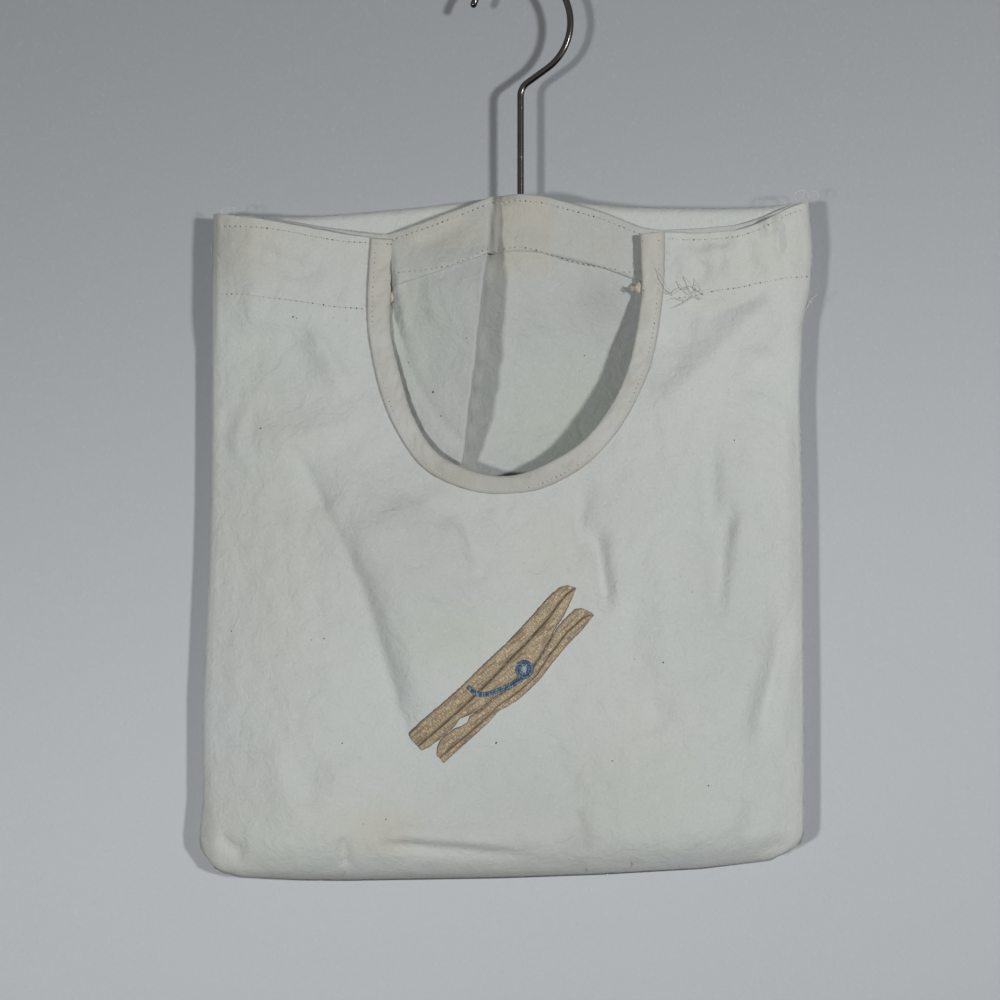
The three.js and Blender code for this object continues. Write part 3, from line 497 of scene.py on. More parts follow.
def woven(name, width, stations, lay, material, replaces, marks, cut=None, shade=None):
    """A cloth panel: a grid of small squares, laid over its surface, cut, and given its thickness. stations are
    the distances down the cloth of its rows, and lay gives the place of (share across, distance)."""
    mesh = bmesh.new()
    rows = len(stations) - 1
    verts, across, up = painted_grid(mesh, int(width / (sizes().square / MM)), rows, "soil")
    down = np.interp((1 - up) * rows, range(rows + 1), stations)
    x, y, z = lay(across, down)
    paint = paint_stains_and_shade(x, z, marks)
    # shade adds painted shade to the grey
    if shade is not None:
        paint[:, 2] = np.clip(paint[:, 2] + shade(x + overhang(x, z), z), 0, 1)
    lay_out(mesh, verts, (x, y, z), "soil", paint, (across * np.ptp(x), -down))
    if cut is not None:
        gone = dict(zip(verts, cut(x, z, down)))
        doomed = [f for f in mesh.faces if all(gone[v] for v in f.verts)]
        bmesh.ops.delete(mesh, geom=doomed, context="FACES")
    piece = finished(mesh, name, [material], replaces)
    thicken(piece, sizes().cloth)
    return piece


def paint_stains_and_shade(x, z, marks):
    """Stains and painted shade on the cloth: how much beige, green and grey at each point."""
    paint = np.zeros((len(x), 3))
    for channel, middle_x, middle_z, reach_x, reach_z, hardness, amount in marks:
        dx, dz = np.abs(x - middle_x) / reach_x, np.abs(z - middle_z) / reach_z
        away = np.maximum(dx, dz) if hardness > 2 else np.hypot(dx, dz)
        paint[:, channel] += amount * (1 - smooth((away - 1) * hardness / 2 + 0.5))
    paint[:, 2] += 0.5 * np.exp(-np.abs(z - bottom_edge(x)) / 4.5)  # painted shade along the foot
    return np.clip(paint, 0, 1)


def stations_of(hem, length, fold=1.3):
    """Rows down a hemmed panel: close together where the hem turns over."""
    step = sizes().square / MM
    turn = [-fold, -0.6 * fold, -0.25 * fold, 0.25 * fold, 0.6 * fold, fold]
    before = np.linspace(-hem, -fold * 1.8, int(hem / step))
    after = np.linspace(fold * 1.8, length, int(length / step))
    return np.concatenate([before, turn, after])


def hemmed(top_edge, surface, length, side, gap):
    """The place of a hemmed panel's points. The hem is turned over on one side: -1 the viewer's, +1 the wall's."""
    def lay(across, down):
        x = lerp(*WIDEST, across)
        for _ in range(4):
            top, low = top_edge(x), bottom_edge(x)
            z = top - (np.sqrt(down**2 + 0.5) - 0.7) * (top - low) / length
            x = lerp(left_edge(z), right_edge(z), across)
        turned = smooth((0.9 - down) / 1.8)
        return x, surface(x, z) + side * gap * turned, z
    return lay


def rim(verts):
    """The edges that join a ring of vertices."""
    chosen = set(verts)
    return list({e for v in verts for e in v.link_edges if e.other_vert(v) in chosen})


def grown(mesh, verts):
    """Extrudes a ring and gives its new vertices, in the same order."""
    made = bmesh.ops.extrude_edge_only(mesh, edges=rim(verts))
    fresh = {g for g in made["geom"] if isinstance(g, bmesh.types.BMVert)}
    return [next(e.other_vert(v) for e in v.link_edges if e.other_vert(v) in fresh) for v in verts]


def sweep(mesh, route, radius, sides, material=0):
    """Extrudes a round thread along a route, all in mm, and closes both ends."""
    route = [spot(*p) for p in route]
    turns = [2 * math.pi * i / sides for i in range(sides)]
    last = first = bmesh.ops.create_circle(mesh, cap_ends=False, segments=sides, radius=MM)["verts"]
    faces_before = len(mesh.faces)
    for i, here in enumerate(route):
        ahead = (route[min(i + 1, len(route) - 1)] - route[max(i - 1, 0)]).normalized()
        side = ahead.cross(Vector((0, 1, 0)))
        side = side.normalized() if side.length > 0.05 else Vector((1, 0, 0))
        over = side.cross(ahead).normalized()
        if i:
            last = grown(mesh, last)
        for vertex, turn in zip(last, turns):
            vertex.co = here + (side * radius * math.cos(turn) + over * radius * math.sin(turn)) * MM
    for end in (first, last):
        bmesh.ops.contextual_create(mesh, geom=rim(end))
    mesh.faces.ensure_lookup_table()
    fresh = mesh.faces[faces_before:]
    for face in fresh:
        face.material_index = material
    bmesh.ops.recalc_face_normals(mesh, faces=fresh)


def bead(mesh, place, radii, segments, rings, turn=0.0, material=0):
    """A small ellipsoid, all in mm, turned about the line of sight."""
    matrix = Matrix.Translation(spot(*place)) @ Matrix.Rotation(turn, 4, "Y")
    size = Matrix.Diagonal((*(r * MM for r in radii), 1))
    made = bmesh.ops.create_uvsphere(
        mesh, u_segments=segments, v_segments=rings, radius=1, matrix=matrix @ size)
    for face in {f for v in made["verts"] for f in v.link_faces}:
        face.material_index = material


def stitch_row(mesh, route, surface, stand, pitch, length, width, height, seed, loose=0.12):
    """Real stitches along a route of (width, height) points: a short thread over the cloth, then a needle hole,
    a small dark bead that is painted shade.
    """
    spots, ahead = evenly(route, pitch)
    y = surface(spots[:, 0], spots[:, 1]) - stand
    for i, ((x, z), (ax, az)) in enumerate(zip(spots, ahead)):
        turn = math.atan2(az, ax) + loose * noise.noise((i * 0.73, seed, 0.5))
        bead(mesh, (x, y[i], z), (length / 2, height / 2, width / 2), 6, 4, turn=-turn)
        hole_x, hole_z = x + ax * pitch / 2, z + az * pitch / 2
        hole_y = depth(surface, hole_x, hole_z) - stand + 0.05
        radius = NEEDLE_RADIUS * (1 + 0.9 * noise.noise((i * 1.37, seed, 4.5)))
        bead(mesh, (hole_x, hole_y, hole_z), (radius, HOLE_HEIGHT, radius), 5, 3, material=1)


# Finishes

def plain(colour):
    """A colour as the eye reads it, 0 to 255, as the linear value the shader wants."""
    return tuple(c / 12.92 if c <= 0.04045 else ((c + 0.055) / 1.055) ** 2.4 for c in (v / 255 for v in colour))


def scaled(colour, share):
    """A colour made darker or lighter."""
    return tuple(c * share for c in colour)


def working(operation, swapped=False):
    """A method that puts one sum's node behind a value, with its two sides swapped or not."""
    def method(self, *others):
        sides = (*others, self) if swapped else (self, *others)
        return self.finish.node("ShaderNodeMath", {"operation": operation}, dict(enumerate(sides)))
    return method


class Value:
    """A socket that can stand in a sum."""

    __add__ = __radd__ = working("ADD")
    __mul__ = __rmul__ = working("MULTIPLY")
    __sub__ = working("SUBTRACT")
    __rsub__ = working("SUBTRACT", swapped=True)
    wave = working("SINE")
    size = working("ABSOLUTE")

    def __init__(self, finish, socket):
        self.finish = finish
        self.socket = socket

    def step(self, low, high):
        """0 below low, 1 above high, smooth between."""
        return self.finish.node("ShaderNodeMapRange", {"interpolation_type": "SMOOTHSTEP"},
                                {"Value": self, "From Min": low, "From Max": high})


class Finish:
    """A material and its nodes."""

    def __init__(self, name, roughness=0.8, metallic=0.0, **constants):
        self.material = bpy.data.materials.new(name)
        self.material.use_nodes = True
        self.tree = self.material.node_tree
        self.shader = next(n for n in self.tree.nodes if n.type == "BSDF_PRINCIPLED")
        for socket, value in {"Roughness": roughness, "Metallic": metallic, **constants}.items():
            self.shader.inputs[socket.replace("_", " ")].default_value = value

    def node(self, kind, settings=None, values=None, out=None):
        """Any node: its settings first, then what goes into its sockets. Gives its first or named output."""
        made = self.tree.nodes.new(kind)
        for name, value in (settings or {}).items():
            setattr(made, name, value)
        for name, value in (values or {}).items():
            if isinstance(name, int):
                socket = made.inputs[name]
            else:
                socket = next(s for s in made.inputs if name in (s.identifier, s.name) and s.enabled)
            if isinstance(value, Value):
                self.tree.links.new(value.socket, socket)
            else:
                socket.default_value = value
        found = next(s for s in made.outputs if s.enabled and out in (None, s.identifier, s.name))
        return Value(self, found)

    def place(self):
        return self.node("ShaderNodeTexCoord", out="Object")

    def cloth_place(self):
        return self.node("ShaderNodeUVMap", {"uv_map": "cloth"})

    def stretched(self, vector, scale, turn=(0, 0, 0)):
        return self.node("ShaderNodeMapping", {}, {"Vector": vector, "Scale": scale, "Rotation": turn})

    def parts(self, vector):
        outputs = self.node("ShaderNodeSeparateXYZ", {}, {"Vector": vector}, "X").socket.node.outputs
        return [Value(self, outputs[i]) for i in range(3)]

    def painted(self, layer):
        """The three amounts that were painted on the mesh."""
        return self.parts(self.node("ShaderNodeAttribute", {"attribute_name": layer}, {}, "Color"))

    def grain(self, vector, scale, detail=3.0, roughness=0.55, distortion=0.0):
        """Noise. Three scales stretch it."""
        if isinstance(scale, tuple):
            vector, scale = self.stretched(vector, scale), 1.0
        values = {"Vector": vector, "Scale": scale, "Detail": detail, "Roughness": roughness,
                  "Distortion": distortion}
        return self.node("ShaderNodeTexNoise", {}, values, "Factor" if bpy.app.version >= (5, 0, 0) else "Fac")

    def mix(self, share, one, other):
        """Colours: one where share is 0, other where it is 1."""
        one, other = (c if isinstance(c, Value) else (*c, 1) for c in (one, other))
        return self.node("ShaderNodeMix", {"data_type": "RGBA", "clamp_factor": True},
                         {"Factor_Float": share, "A_Color": one, "B_Color": other}, "Result_Color")

    def coats(self, tone, *coats):
        """Lays thin colours over a tone, one after the other: each has its share and its colour."""
        tone = plain(tone)
        for share, colour in coats:
            tone = self.mix(share, tone, plain(colour))
        return tone

    def relief(self, height, distance, strength=1.0, over=None):
        values = {"Height": height, "Distance": distance, "Strength": strength}
        if over is not None:
            values["Normal"] = over
        return self.node("ShaderNodeBump", {}, values)

    def wear(self, colour, roughness=None, normal=None):
        """Joins what changes over the surface to the shader, and gives back the material."""
        for socket, value in (("Base Color", colour), ("Roughness", roughness), ("Normal", normal)):
            if value is not None:
                self.tree.links.new(value.socket, self.shader.inputs[socket])
        return self.material


def weave_height(finish, threads=0.00052):
    """Plain weave: warp over weft, each thread a little uneven."""
    across, down, _ = finish.parts(finish.cloth_place())
    wander = finish.grain(finish.cloth_place(), 90, 2) * 0.0006
    pitch = 2 * math.pi / threads
    return ((across + wander) * pitch).wave() * ((down + wander) * pitch).wave()


def cotton(name, colour, warm, specks=0.4):
    """Washed calico: weave, slubs, soft creases, uneven bleaching, the painted stains, and painted shade
    laid on with the grey.
    """
    finish = Finish(name, roughness=0.92, Sheen_Weight=0.12, Sheen_Roughness=0.5, Specular_IOR_Level=0.25)
    place = finish.place()
    beige, green, grey = finish.painted("soil")
    mottle = finish.grain(place, 34, 4, 0.6)
    cloudy = finish.grain(place, 11, 2, 0.5)
    fine = finish.grain(place, 620, 3, 0.7)
    slub = finish.grain(finish.cloth_place(), (90, 900, 1), 2, 0.6)
    lint = finish.node("ShaderNodeTexVoronoi", {"feature": "F1"}, {"Vector": place, "Scale": 42.0}, "Distance")
    tone = finish.coats(
        colour,
        (cloudy.step(0.35, 0.7) * 0.5, warm),
        ((mottle - 0.5).size() * 0.22, (150, 158, 150)),
        (beige * (0.75 + 0.5 * mottle), (176, 164, 138)),
        (green * (0.6 + 0.8 * mottle), (170, 184, 160)),
        # the grey: painted shade in most places, grime in a few
        (grey * (0.7 + 0.6 * mottle), (112, 112, 106)),
        ((fine - 0.5).step(0.05, 0.3) * 0.18, (236, 238, 232)),
        ((0.5 - fine).step(0.05, 0.3) * 0.22, (120, 124, 120)),
        ((1 - lint.step(0.012, 0.028)) * specks, (84, 76, 66)))
    creases = finish.grain(place, 105, 4, 0.62, 0.6)
    rumple = finish.grain(place, 260, 3, 0.6)
    height = weave_height(finish) * 0.03 + fine * 0.10 + slub * 0.05 + rumple * 0.22
    normal = finish.relief(height, 0.0009, 0.6, over=finish.relief(creases, 0.0018, 0.75))
    return finish.wear(tone, 0.9 + 0.08 * mottle, normal)


def tape(name, colour, shade):
    """Bias tape: finer cloth than the bag's, its weave at a slant, painted shade along its folded edges."""
    finish = Finish(name, roughness=0.9, Sheen_Weight=0.1, Sheen_Roughness=0.5, Specular_IOR_Level=0.25)
    beige, _, grey = finish.painted("soil")
    mottle = finish.grain(finish.place(), 60, 4, 0.6)
    fine = finish.grain(finish.place(), 700, 3, 0.7)
    slanted = finish.stretched(finish.cloth_place(), (1, 1, 1), (0, 0, math.radians(45)))
    warp, weft, _ = finish.parts(slanted)
    weave = (warp * 14000).wave() * (weft * 14000).wave()
    tone = finish.coats(
        colour,
        (mottle.step(0.35, 0.75) * 0.6, shade),
        (beige * 0.8, (178, 168, 140)),
        (grey * 0.9, (116, 114, 106)),
        ((0.5 - fine).step(0.05, 0.3) * 0.25, (110, 108, 100)))
    pucker = finish.grain(finish.stretched(slanted, (1, 0.35, 1)), 320, 2, 0.5)
    normal = finish.relief(weave * 0.03 + fine * 0.1 + pucker * 0.5, 0.0012, 0.6)
    return finish.wear(tone, 0.88 + 0.1 * mottle, normal)


def yarn(name, colour, shade, twist=2600.0):
    """Sewing thread: two strands twisted together, with a soft lustre."""
    finish = Finish(name, roughness=0.6, Sheen_Weight=0.2, Specular_IOR_Level=0.4)
    x, y, z = finish.parts(finish.place())
    strand = ((x + 0.6 * y + 0.8 * z) * twist).wave()
    uneven = finish.grain(finish.place(), 800, 2)
    tone = finish.coats(shade, (uneven * 0.7 + strand.step(-1, 0.2) * 0.2, colour))
    return finish.wear(tone, 0.5 + 0.2 * uneven, finish.relief(strand * 0.5 + uneven, 0.0001, 0.5))


def dark_hole(name):
    # A needle hole is a small dark bead: painted shade
    finish = Finish(name, roughness=1.0, Specular_IOR_Level=0.1)
    return finish.wear(finish.coats((52, 48, 42), (finish.grain(finish.place(), 900, 2), (98, 92, 82))))


def satin(name, lit, middle, dark, blush):
    """Satin stitch: close threads across each band, lit and dark ones side by side, dark splits between bands.
    The lit threads gather on each band's crown as a painted highlight, painted shade darkens the band's edges,
    and the splits are painted shadow lines.
    """
    finish = Finish(name, roughness=0.62, Sheen_Weight=0.15, Specular_IOR_Level=0.45)
    place = finish.cloth_place()
    threads = finish.grain(place, (1500, 420, 1), 2, 0.75)
    speckle = finish.grain(place, (2100, 1300, 1), 1, 0.5)
    streaks = finish.grain(place, (70, 620, 1), 2, 0.6)
    patches = finish.grain(place, (90, 160, 1), 2, 0.5)
    crown, split, _ = finish.painted("band")
    tone = finish.coats(
        middle,
        (patches.step(0.4, 0.65) * 0.7, blush),
        # painted highlight: the lit threads gather on the crown of each band
        (threads.step(0.45, 0.64) * (0.25 + 0.75 * crown), lit),
        ((0.56 - speckle).step(0.02, 0.14) * 0.45, dark),
        ((0.5 - streaks).step(0.0, 0.14) * 0.6, dark),
        # painted shade on the edges of each band, and a painted shadow line in the splits
        ((1 - crown).step(0.5, 1.0) * 0.75, dark),
        (split, (44, 34, 26)))
    return finish.wear(tone, 0.5 + 0.25 * threads, finish.relief(threads * 0.7 + speckle * 0.5, 0.0004, 0.8))


def blue_thread(name, lit, dark):
    finish = Finish(name, roughness=0.5, Sheen_Weight=0.15, Specular_IOR_Level=0.5)
    threads = finish.grain(finish.cloth_place(), (1500, 260, 1), 2, 0.8)
    # the lit and dark copies of one blue, laid along the threads: painted highlight and shade
    tone = finish.coats(dark, (threads.step(0.46, 0.7), lit))
    return finish.wear(tone, 0.42 + 0.25 * threads, finish.relief(threads, 0.0004, 0.8))


def steel(name, colour, roughness, streak):
    """Plated wire: a dark mirror, with faint drawing lines, smudges and a few rubbed spots."""
    finish = Finish(name, roughness=roughness, metallic=1.0)
    place = finish.place()
    smudge = finish.grain(place, 60, 3, 0.6)
    drawn = finish.grain(place, streak, 2, 0.6)
    rubbed = finish.grain(place, 240, 2, 0.5).step(0.66, 0.78)
    bright = tuple(min(c, 235) for c in scaled(colour, 1.5))
    tone = finish.coats(
        colour, (smudge.step(0.4, 0.75) * 0.5, scaled(colour, 0.72)), (rubbed * 0.35, bright))
    rough = roughness * (0.7 + 0.7 * smudge) + rubbed * 0.12
    return finish.wear(tone, rough, finish.relief(drawn, 0.00004, 0.5))


def wood(name, pale, dark):
    """Beech slat: straight grain along the bar, short dark flecks, raw and slightly furry."""
    finish = Finish(name, roughness=0.7, Specular_IOR_Level=0.3)
    rings = finish.grain(finish.place(), (4, 160, 160), 4, 0.6, 0.4)
    flecks = finish.grain(finish.place(), (180, 900, 900), 2, 0.5)
    tone = finish.coats(pale, (rings.step(0.35, 0.7), dark), (flecks.step(0.62, 0.72) * 0.6, (110, 78, 50)))
    return finish.wear(tone, 0.6 + 0.2 * rings, finish.relief(rings + flecks * 0.4, 0.0003, 0.5))


def plaster(name, lower, upper):
    """The pale wall: painted shade darkens it towards the top, where the lamps' light falls off; finely speckled.
    Seen from behind, it isn't there.
    """
    finish = Finish(name, roughness=1.0, Specular_IOR_Level=0.0)
    place = finish.place()
    _, _, height = finish.parts(place)
    speckle = finish.grain(place, 480, 3, 0.7)
    tone = finish.coats(
        lower,
        # painted shade towards the top
        (height.step(-0.62, 0.12), upper),
        ((speckle - 0.5).step(0.05, 0.3) * 0.10, (232, 234, 236)),
        ((0.5 - speckle).step(0.05, 0.3) * 0.10, (120, 124, 128)),
        (finish.grain(place, 5, 2) * 0.06, (150, 156, 170)))
    material = finish.wear(tone, normal=finish.relief(speckle, 0.0006, 0.3))
    behind = finish.node("ShaderNodeNewGeometry", {}, {}, "Backfacing")
    clear = finish.node("ShaderNodeBsdfTransparent")
    front = Value(finish, finish.shader.outputs[0])
    both = finish.node("ShaderNodeMixShader", {}, {0: behind, 1: front, 2: clear})
    output = next(n for n in finish.tree.nodes if n.type == "OUTPUT_MATERIAL")
    finish.tree.links.new(both.socket, output.inputs["Surface"])
    return material


# What a user can change

def length(name, description, default, least, most):
    return FloatProperty(
        name=name, description=description, default=default, min=least, max=most, unit="LENGTH")


def tint(name, description, colour):
    return FloatVectorProperty(
        name=name, description=description, subtype="COLOR_GAMMA", size=3, min=0, max=1,
        default=tuple(c / 255 for c in colour))


class BagSizes(PropertyGroup):
    """Sizes of the dressed bag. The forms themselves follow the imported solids."""

    cloth: length("Cloth thickness", "Thickness of one layer of the bag's cotton", 0.0007, 0.0003, 0.001)
    tape: length("Tape thickness", "Thickness of the bias tape round the mouth", 0.0005, 0.0003, 0.0008)
    square: length("Mesh square", "Side of the small squares the cloth is modelled in", 0.00195, 0.0018, 0.006)
    pitch: length("Stitch pitch", "From one stitch to the next", 0.003, 0.002, 0.006)
    thread: length("Thread width", "Width of the sewing thread", 0.0006, 0.0003, 0.001)
    wire: length("Hook wire", "Diameter of the hook's wire", 0.0037, 0.0030, 0.0037)
    wall_gap: length("Wall", "Distance from the hook to the wall behind the bag", 0.0195, 0.012, 0.1)


class BagColours(PropertyGroup):
    """Colours of the dressed bag, as the eye reads them."""

    cotton: tint("Cotton", "The washed white cotton", (184, 188, 186))
    hem: tint("Hems", "The double, slightly yellowed hems", (186, 187, 180))
    binding: tint("Binding", "The bias tape round the mouth", (180, 180, 176))
    peg_light: tint("Peg, light thread", "The lit threads of the embroidered peg", (206, 190, 156))
    peg_middle: tint("Peg, middle thread", "Its main brown", (150, 134, 109))
    peg_dark: tint("Peg, dark thread", "Its darkest brown", (88, 73, 55))
    spring: tint("Spring thread", "The blue thread of the spring", (60, 84, 128))
    hook: tint("Hook", "The hook's dark plating", (72, 68, 66))
    wood: tint("Bar", "The beech of the hanger bar", (205, 172, 128))
    wall: tint("Wall", "The pale wall behind the bag", (183, 187, 190))


def sizes():
    return bpy.context.scene.peg_bag_sizes


def colour(name, share=1.0):
    """A colour the user can change, darkened to a share of itself."""
    return scaled(getattr(bpy.context.scene.peg_bag_colours, name), 255 * share)


def once(name, make, *settings):
    """A material is made once and shared."""
    return bpy.data.materials.get(name) or make(name, *settings)


def white_cotton():
    return once("washed_cotton", cotton, colour("cotton"), colour("hem"))


def stitching():
    """The two materials of every row of stitches: the thread and the needle holes."""
    return [once("white_thread", yarn, (212, 212, 204), (150, 148, 140)), once("needle_hole", dark_hole)]


# Marks painted on the cloth, each as: channel (0 beige, 1 green, 2 grey), middle, half width and height,
# hardness, amount. The beige and green marks are stains. The grey is mostly painted shade: along the feet and
# side edges, at the hook's foot, beside folds, and over the middle of the front, where the thin cloth hangs
# over the hollow bag. A little of the grey is grime.
BACK_STAINS_AND_SHADE = [
    (0, 20, -131, 40, 8, 1, 0.25), (2, 0, -127, 9, 4, 1, 0.5), (1, -120, -470, 60, 30, 1, 0.25),
    (0, 60, -420, 50, 60, 1, 0.18), (2, -100, -503, 120, 5, 1, 0.25)]
INNER_STAINS_AND_SHADE = [
    (0, 2, -146, 16, 24, 2.6, 0.24), (0, 8, -134, 14, 9, 1, 0.14), (0, -45, -145, 30, 14, 1, 0.22),
    (0, 45, -152, 22, 16, 1, 0.18), (2, 8, -150, 6, 5, 1, 0.12), (2, -10, -128, 5, 3, 1, 0.35),
    (1, 30, -250, 30, 30, 1, 0.3), (1, -60, -200, 20, 30, 1, 0.2), (2, 45, -183, 12, 10, 1, 0.18),
    (2, -3, -124, 40, 3, 1, 0.2)]
FRONT_STAINS_AND_SHADE = [
    (0, -125, -155, 50, 26, 2, 0.10), (0, 120, -150, 45, 24, 2, 0.08), (2, -168, -150, 6, 22, 1, 0.25),
    (0, -150, -148, 26, 18, 1, 0.10), (1, -150, -210, 24, 30, 1, 0.12), (1, -140, -300, 30, 50, 1, 0.1),
    (2, -156, -158, 12, 16, 1, 0.08), (2, -58, -318, 42, 44, 1, 0.13), (2, 0, -462, 52, 30, 1, 0.09),
    (2, 40, -292, 30, 24, 1, 0.07), (2, 112, -296, 22, 40, 1, 0.07), (2, 112, -366, 24, 34, 1, 0.08),
    (1, -150, -480, 40, 22, 1, 0.12), (0, -75, -478, 18, 14, 1, 0.25), (0, 22, -335, 22, 30, 1, 0.15),
    (1, -40, -370, 26, 14, 1, 0.3), (2, -60, -507, 110, 4, 1, 0.35), (2, 156, -175, 4, 40, 1, 0.12),
    (0, 100, -182, 22, 12, 1, 0.12), (2, 30, -486, 8, 10, 1, 0.14), (1, 70, -460, 40, 26, 1, 0.15),
    (2, -176, -480, 5, 30, 1, 0.25), (0, 130, -134, 14, 5, 1, 0.3), (2, 125, -136, 20, 3, 1, 0.2)]

BAR_TURN = 5 * math.pi / 2  # cloth from the back of the bar to its top, and from there to its front
HOOK_SLOT = (6.4, 4.2)  # half the width, and half the length along the cloth, of the slot for the hook


class PEGBAG_OT_back_panel(Operator):
    """The back panel, with its top turned over the bar and down in front of it as the casing"""

    bl_idname = "pegbag.back_panel"
    bl_label = "Back panel and casing"

    def execute(self, context):
        step = sizes().square / MM

        def lay(across, down):
            x = lerp(*WIDEST, across)
            for _ in range(4):
                top, low = back_top(x), bottom_edge(x)
                half = (BACK_PLANE - casing_y(x, top - 20)) / 2
                round_height = np.minimum(half, 5)
                past = np.maximum(np.abs(down) - BAR_TURN, 0)
                fall = past * np.where(down > 0, (top - low - round_height) / (BACK_LENGTH - BAR_TURN), 1)
                angle = np.clip(down / BAR_TURN, -1, 1) * math.pi / 2
                z = top - round_height * (1 - np.cos(angle)) - fall
                x = lerp(left_edge(z), right_edge(z), across)
            y = BACK_PLANE - half + half * np.sin(angle)
            y = np.where((down < 0) & (past > 0), casing_y(x, z), y)
            soft = smooth((inset(x, z) - 2) / 14) * smooth((z - bottom_edge(x)) / 10)
            waves = 0.5 * crumple(x, z, 61.0) * soft * smooth((down - BAR_TURN) / 30)
            return x, sewn(x, z, y + np.clip(waves, -0.8, 0.25), 4.9), z

        def hook_slot(x, z, down):
            return (np.abs(x) < HOOK_SLOT[0]) & (np.abs(down) < HOOK_SLOT[1])

        stations = np.concatenate([
            np.linspace(-BAR_TURN - CASING_DEPTH, -BAR_TURN, 20), np.linspace(-BAR_TURN, BAR_TURN, 13)[1:],
            np.linspace(BAR_TURN, BACK_LENGTH, int((BACK_LENGTH - BAR_TURN) / step))[1:]])
        piece = woven("back_panel_cloth", 340, stations, lay, white_cotton(), ["back_panel"], BACK_STAINS_AND_SHADE,
                      cut=hook_slot)
        return {"FINISHED"}


class PEGBAG_OT_inner_panel(Operator):
    """The inner panel, seen through the mouth, with its turned top hem and deep fold"""

    bl_idname = "pegbag.inner_panel"
    bl_label = "Inner panel"

    def execute(self, context):
        place = hemmed(inner_top, inner_y, INNER_LENGTH, -1, INNER_HEM_GAP)

        def lay(across, down):
            x, y, z = place(0.012 + 0.976 * across, down)
            return x - overhang(x, z) * smooth((down + 1) / 3), y, z

        # The bag's cotton made a little darker: painted shade inside the bag
        shaded_cotton = once("inner_cotton", cotton, colour("cotton", 0.93), colour("hem", 0.945))
        piece = woven("inner_panel_cloth", 336, stations_of(INNER_HEM, INNER_LENGTH - 4), lay, shaded_cotton,
                      ["inner_panel"], INNER_STAINS_AND_SHADE, shade=fold_shade)
        return {"FINISHED"}


class PEGBAG_OT_front_panel(Operator):
    """The front panel, with its turned top hem, its folds and the cut-out for the mouth"""

    bl_idname = "pegbag.front_panel"
    bl_label = "Front panel"

    def execute(self, context):
        lay = hemmed(front_top, front_y, FRONT_LENGTH, 1, FRONT_HEM_GAP)
        piece = woven("front_panel_cloth", 338, stations_of(FRONT_HEM, FRONT_LENGTH), lay, white_cotton(),
                      ["front_panel"], FRONT_STAINS_AND_SHADE, cut=lambda x, z, down: inside_mouth(x, z))
        return {"FINISHED"}


def binding_edges(count):
    """The binding's outer and inner edge, at as many matching points."""
    return flowing(BINDING_OUTER, count), flowing(BINDING_INNER, count)


class PEGBAG_OT_mouth_binding(Operator):
    """The bias tape folded round the mouth's edge"""

    bl_idname = "pegbag.mouth_binding"
    bl_label = "Mouth binding"

    def execute(self, context):
        columns, rows = 400, 26
        outer, inner = binding_edges(columns + 1)
        run = np.concatenate([[0], np.cumsum(np.hypot(*np.diff((outer + inner) / 2, axis=0).T))])
        mesh = bmesh.new()
        verts, along, around = painted_grid(mesh, columns, rows, "soil")
        i = np.rint(along * columns).astype(int)
        # The tape runs over the front from the outer to the inner edge, round it, and back behind the panel
        in_front, behind_it = around < TAPE_FRONT, around > TAPE_BACK
        turn = np.clip((around - TAPE_FRONT) / (TAPE_BACK - TAPE_FRONT), 0, 1) * math.pi
        share = np.clip(np.where(around < 0.5, around, 1 - around) / TAPE_FRONT, 0, 1)
        place = outer[i] + (inner[i] - outer[i]) * (share * 0.985 + 0.03 * np.sin(turn))[:, None]
        x, z = place.T
        distance = run[i]
        waves = np.array([noise.noise((d / 6.5 + 0.9 * q, q * 1.1, 2.0)) for d, q in zip(distance, share * 2)])
        ripple = np.sin(distance / 1.25 + 2.2 * share + 5 * waves)
        # It swells between its edges, and the row of stitches pulls it down in puckers
        free = 1 - hill((share - BINDING_ROW) / 0.13)
        pull = hill((share - BINDING_ROW) / 0.07) * (0.22 + 0.09 * np.cos(distance * 2.33))
        pad = 0.95 + 0.34 * np.sin(np.pi * np.clip(share, 0.02, 1)) + free * (0.7 * waves + 0.2 * ripple) - pull
        pad = np.where(share < 0.06, 0.8, np.maximum(pad, 0.6))
        back = 0.85 + 0.9 * smooth((z - (front_top(x) - FRONT_HEM - 6)) / 8) + 0.2 * waves
        rounding = -np.cos(turn) * np.where(turn < math.pi / 2, pad, back)
        y = front_y(x, z) + np.where(in_front, -pad, np.where(behind_it, back, rounding))
        z = np.minimum(z, front_top(x) + 0.9 - 0.2 * np.abs(around - 0.5))
        end = np.minimum(distance, run[-1] - distance)
        low = 0.25 * smooth((-265 - z) / 20)
        # Painted shade along both folded edges of the tape
        edge_shade = 0.32 * hill(share / 0.1) + 0.2 * hill((share - 1) / 0.1)
        paint = np.stack([0.2 * smooth((60 - end) / 50) + 0.2 * low, 0 * low, edge_shade + 0.9 * low], axis=1)
        lay_out(mesh, verts, (x, y, z), "soil", paint, (distance, around * TAPE_WIDTH))
        bmesh.ops.recalc_face_normals(mesh, faces=mesh.faces)
        material = once("mouth_tape", tape, colour("binding"), (170, 168, 158))
        piece = finished(mesh, "mouth_binding_tape", [material], replaces=["mouth_binding"])
        thicken(piece, sizes().tape)
        return {"FINISHED"}


def along_edge(top_edge, start, end, step, below):
    """A row at a steady distance under an edge."""
    return [(x, float(top_edge(x)) - below) for x in np.arange(start, end, step)]


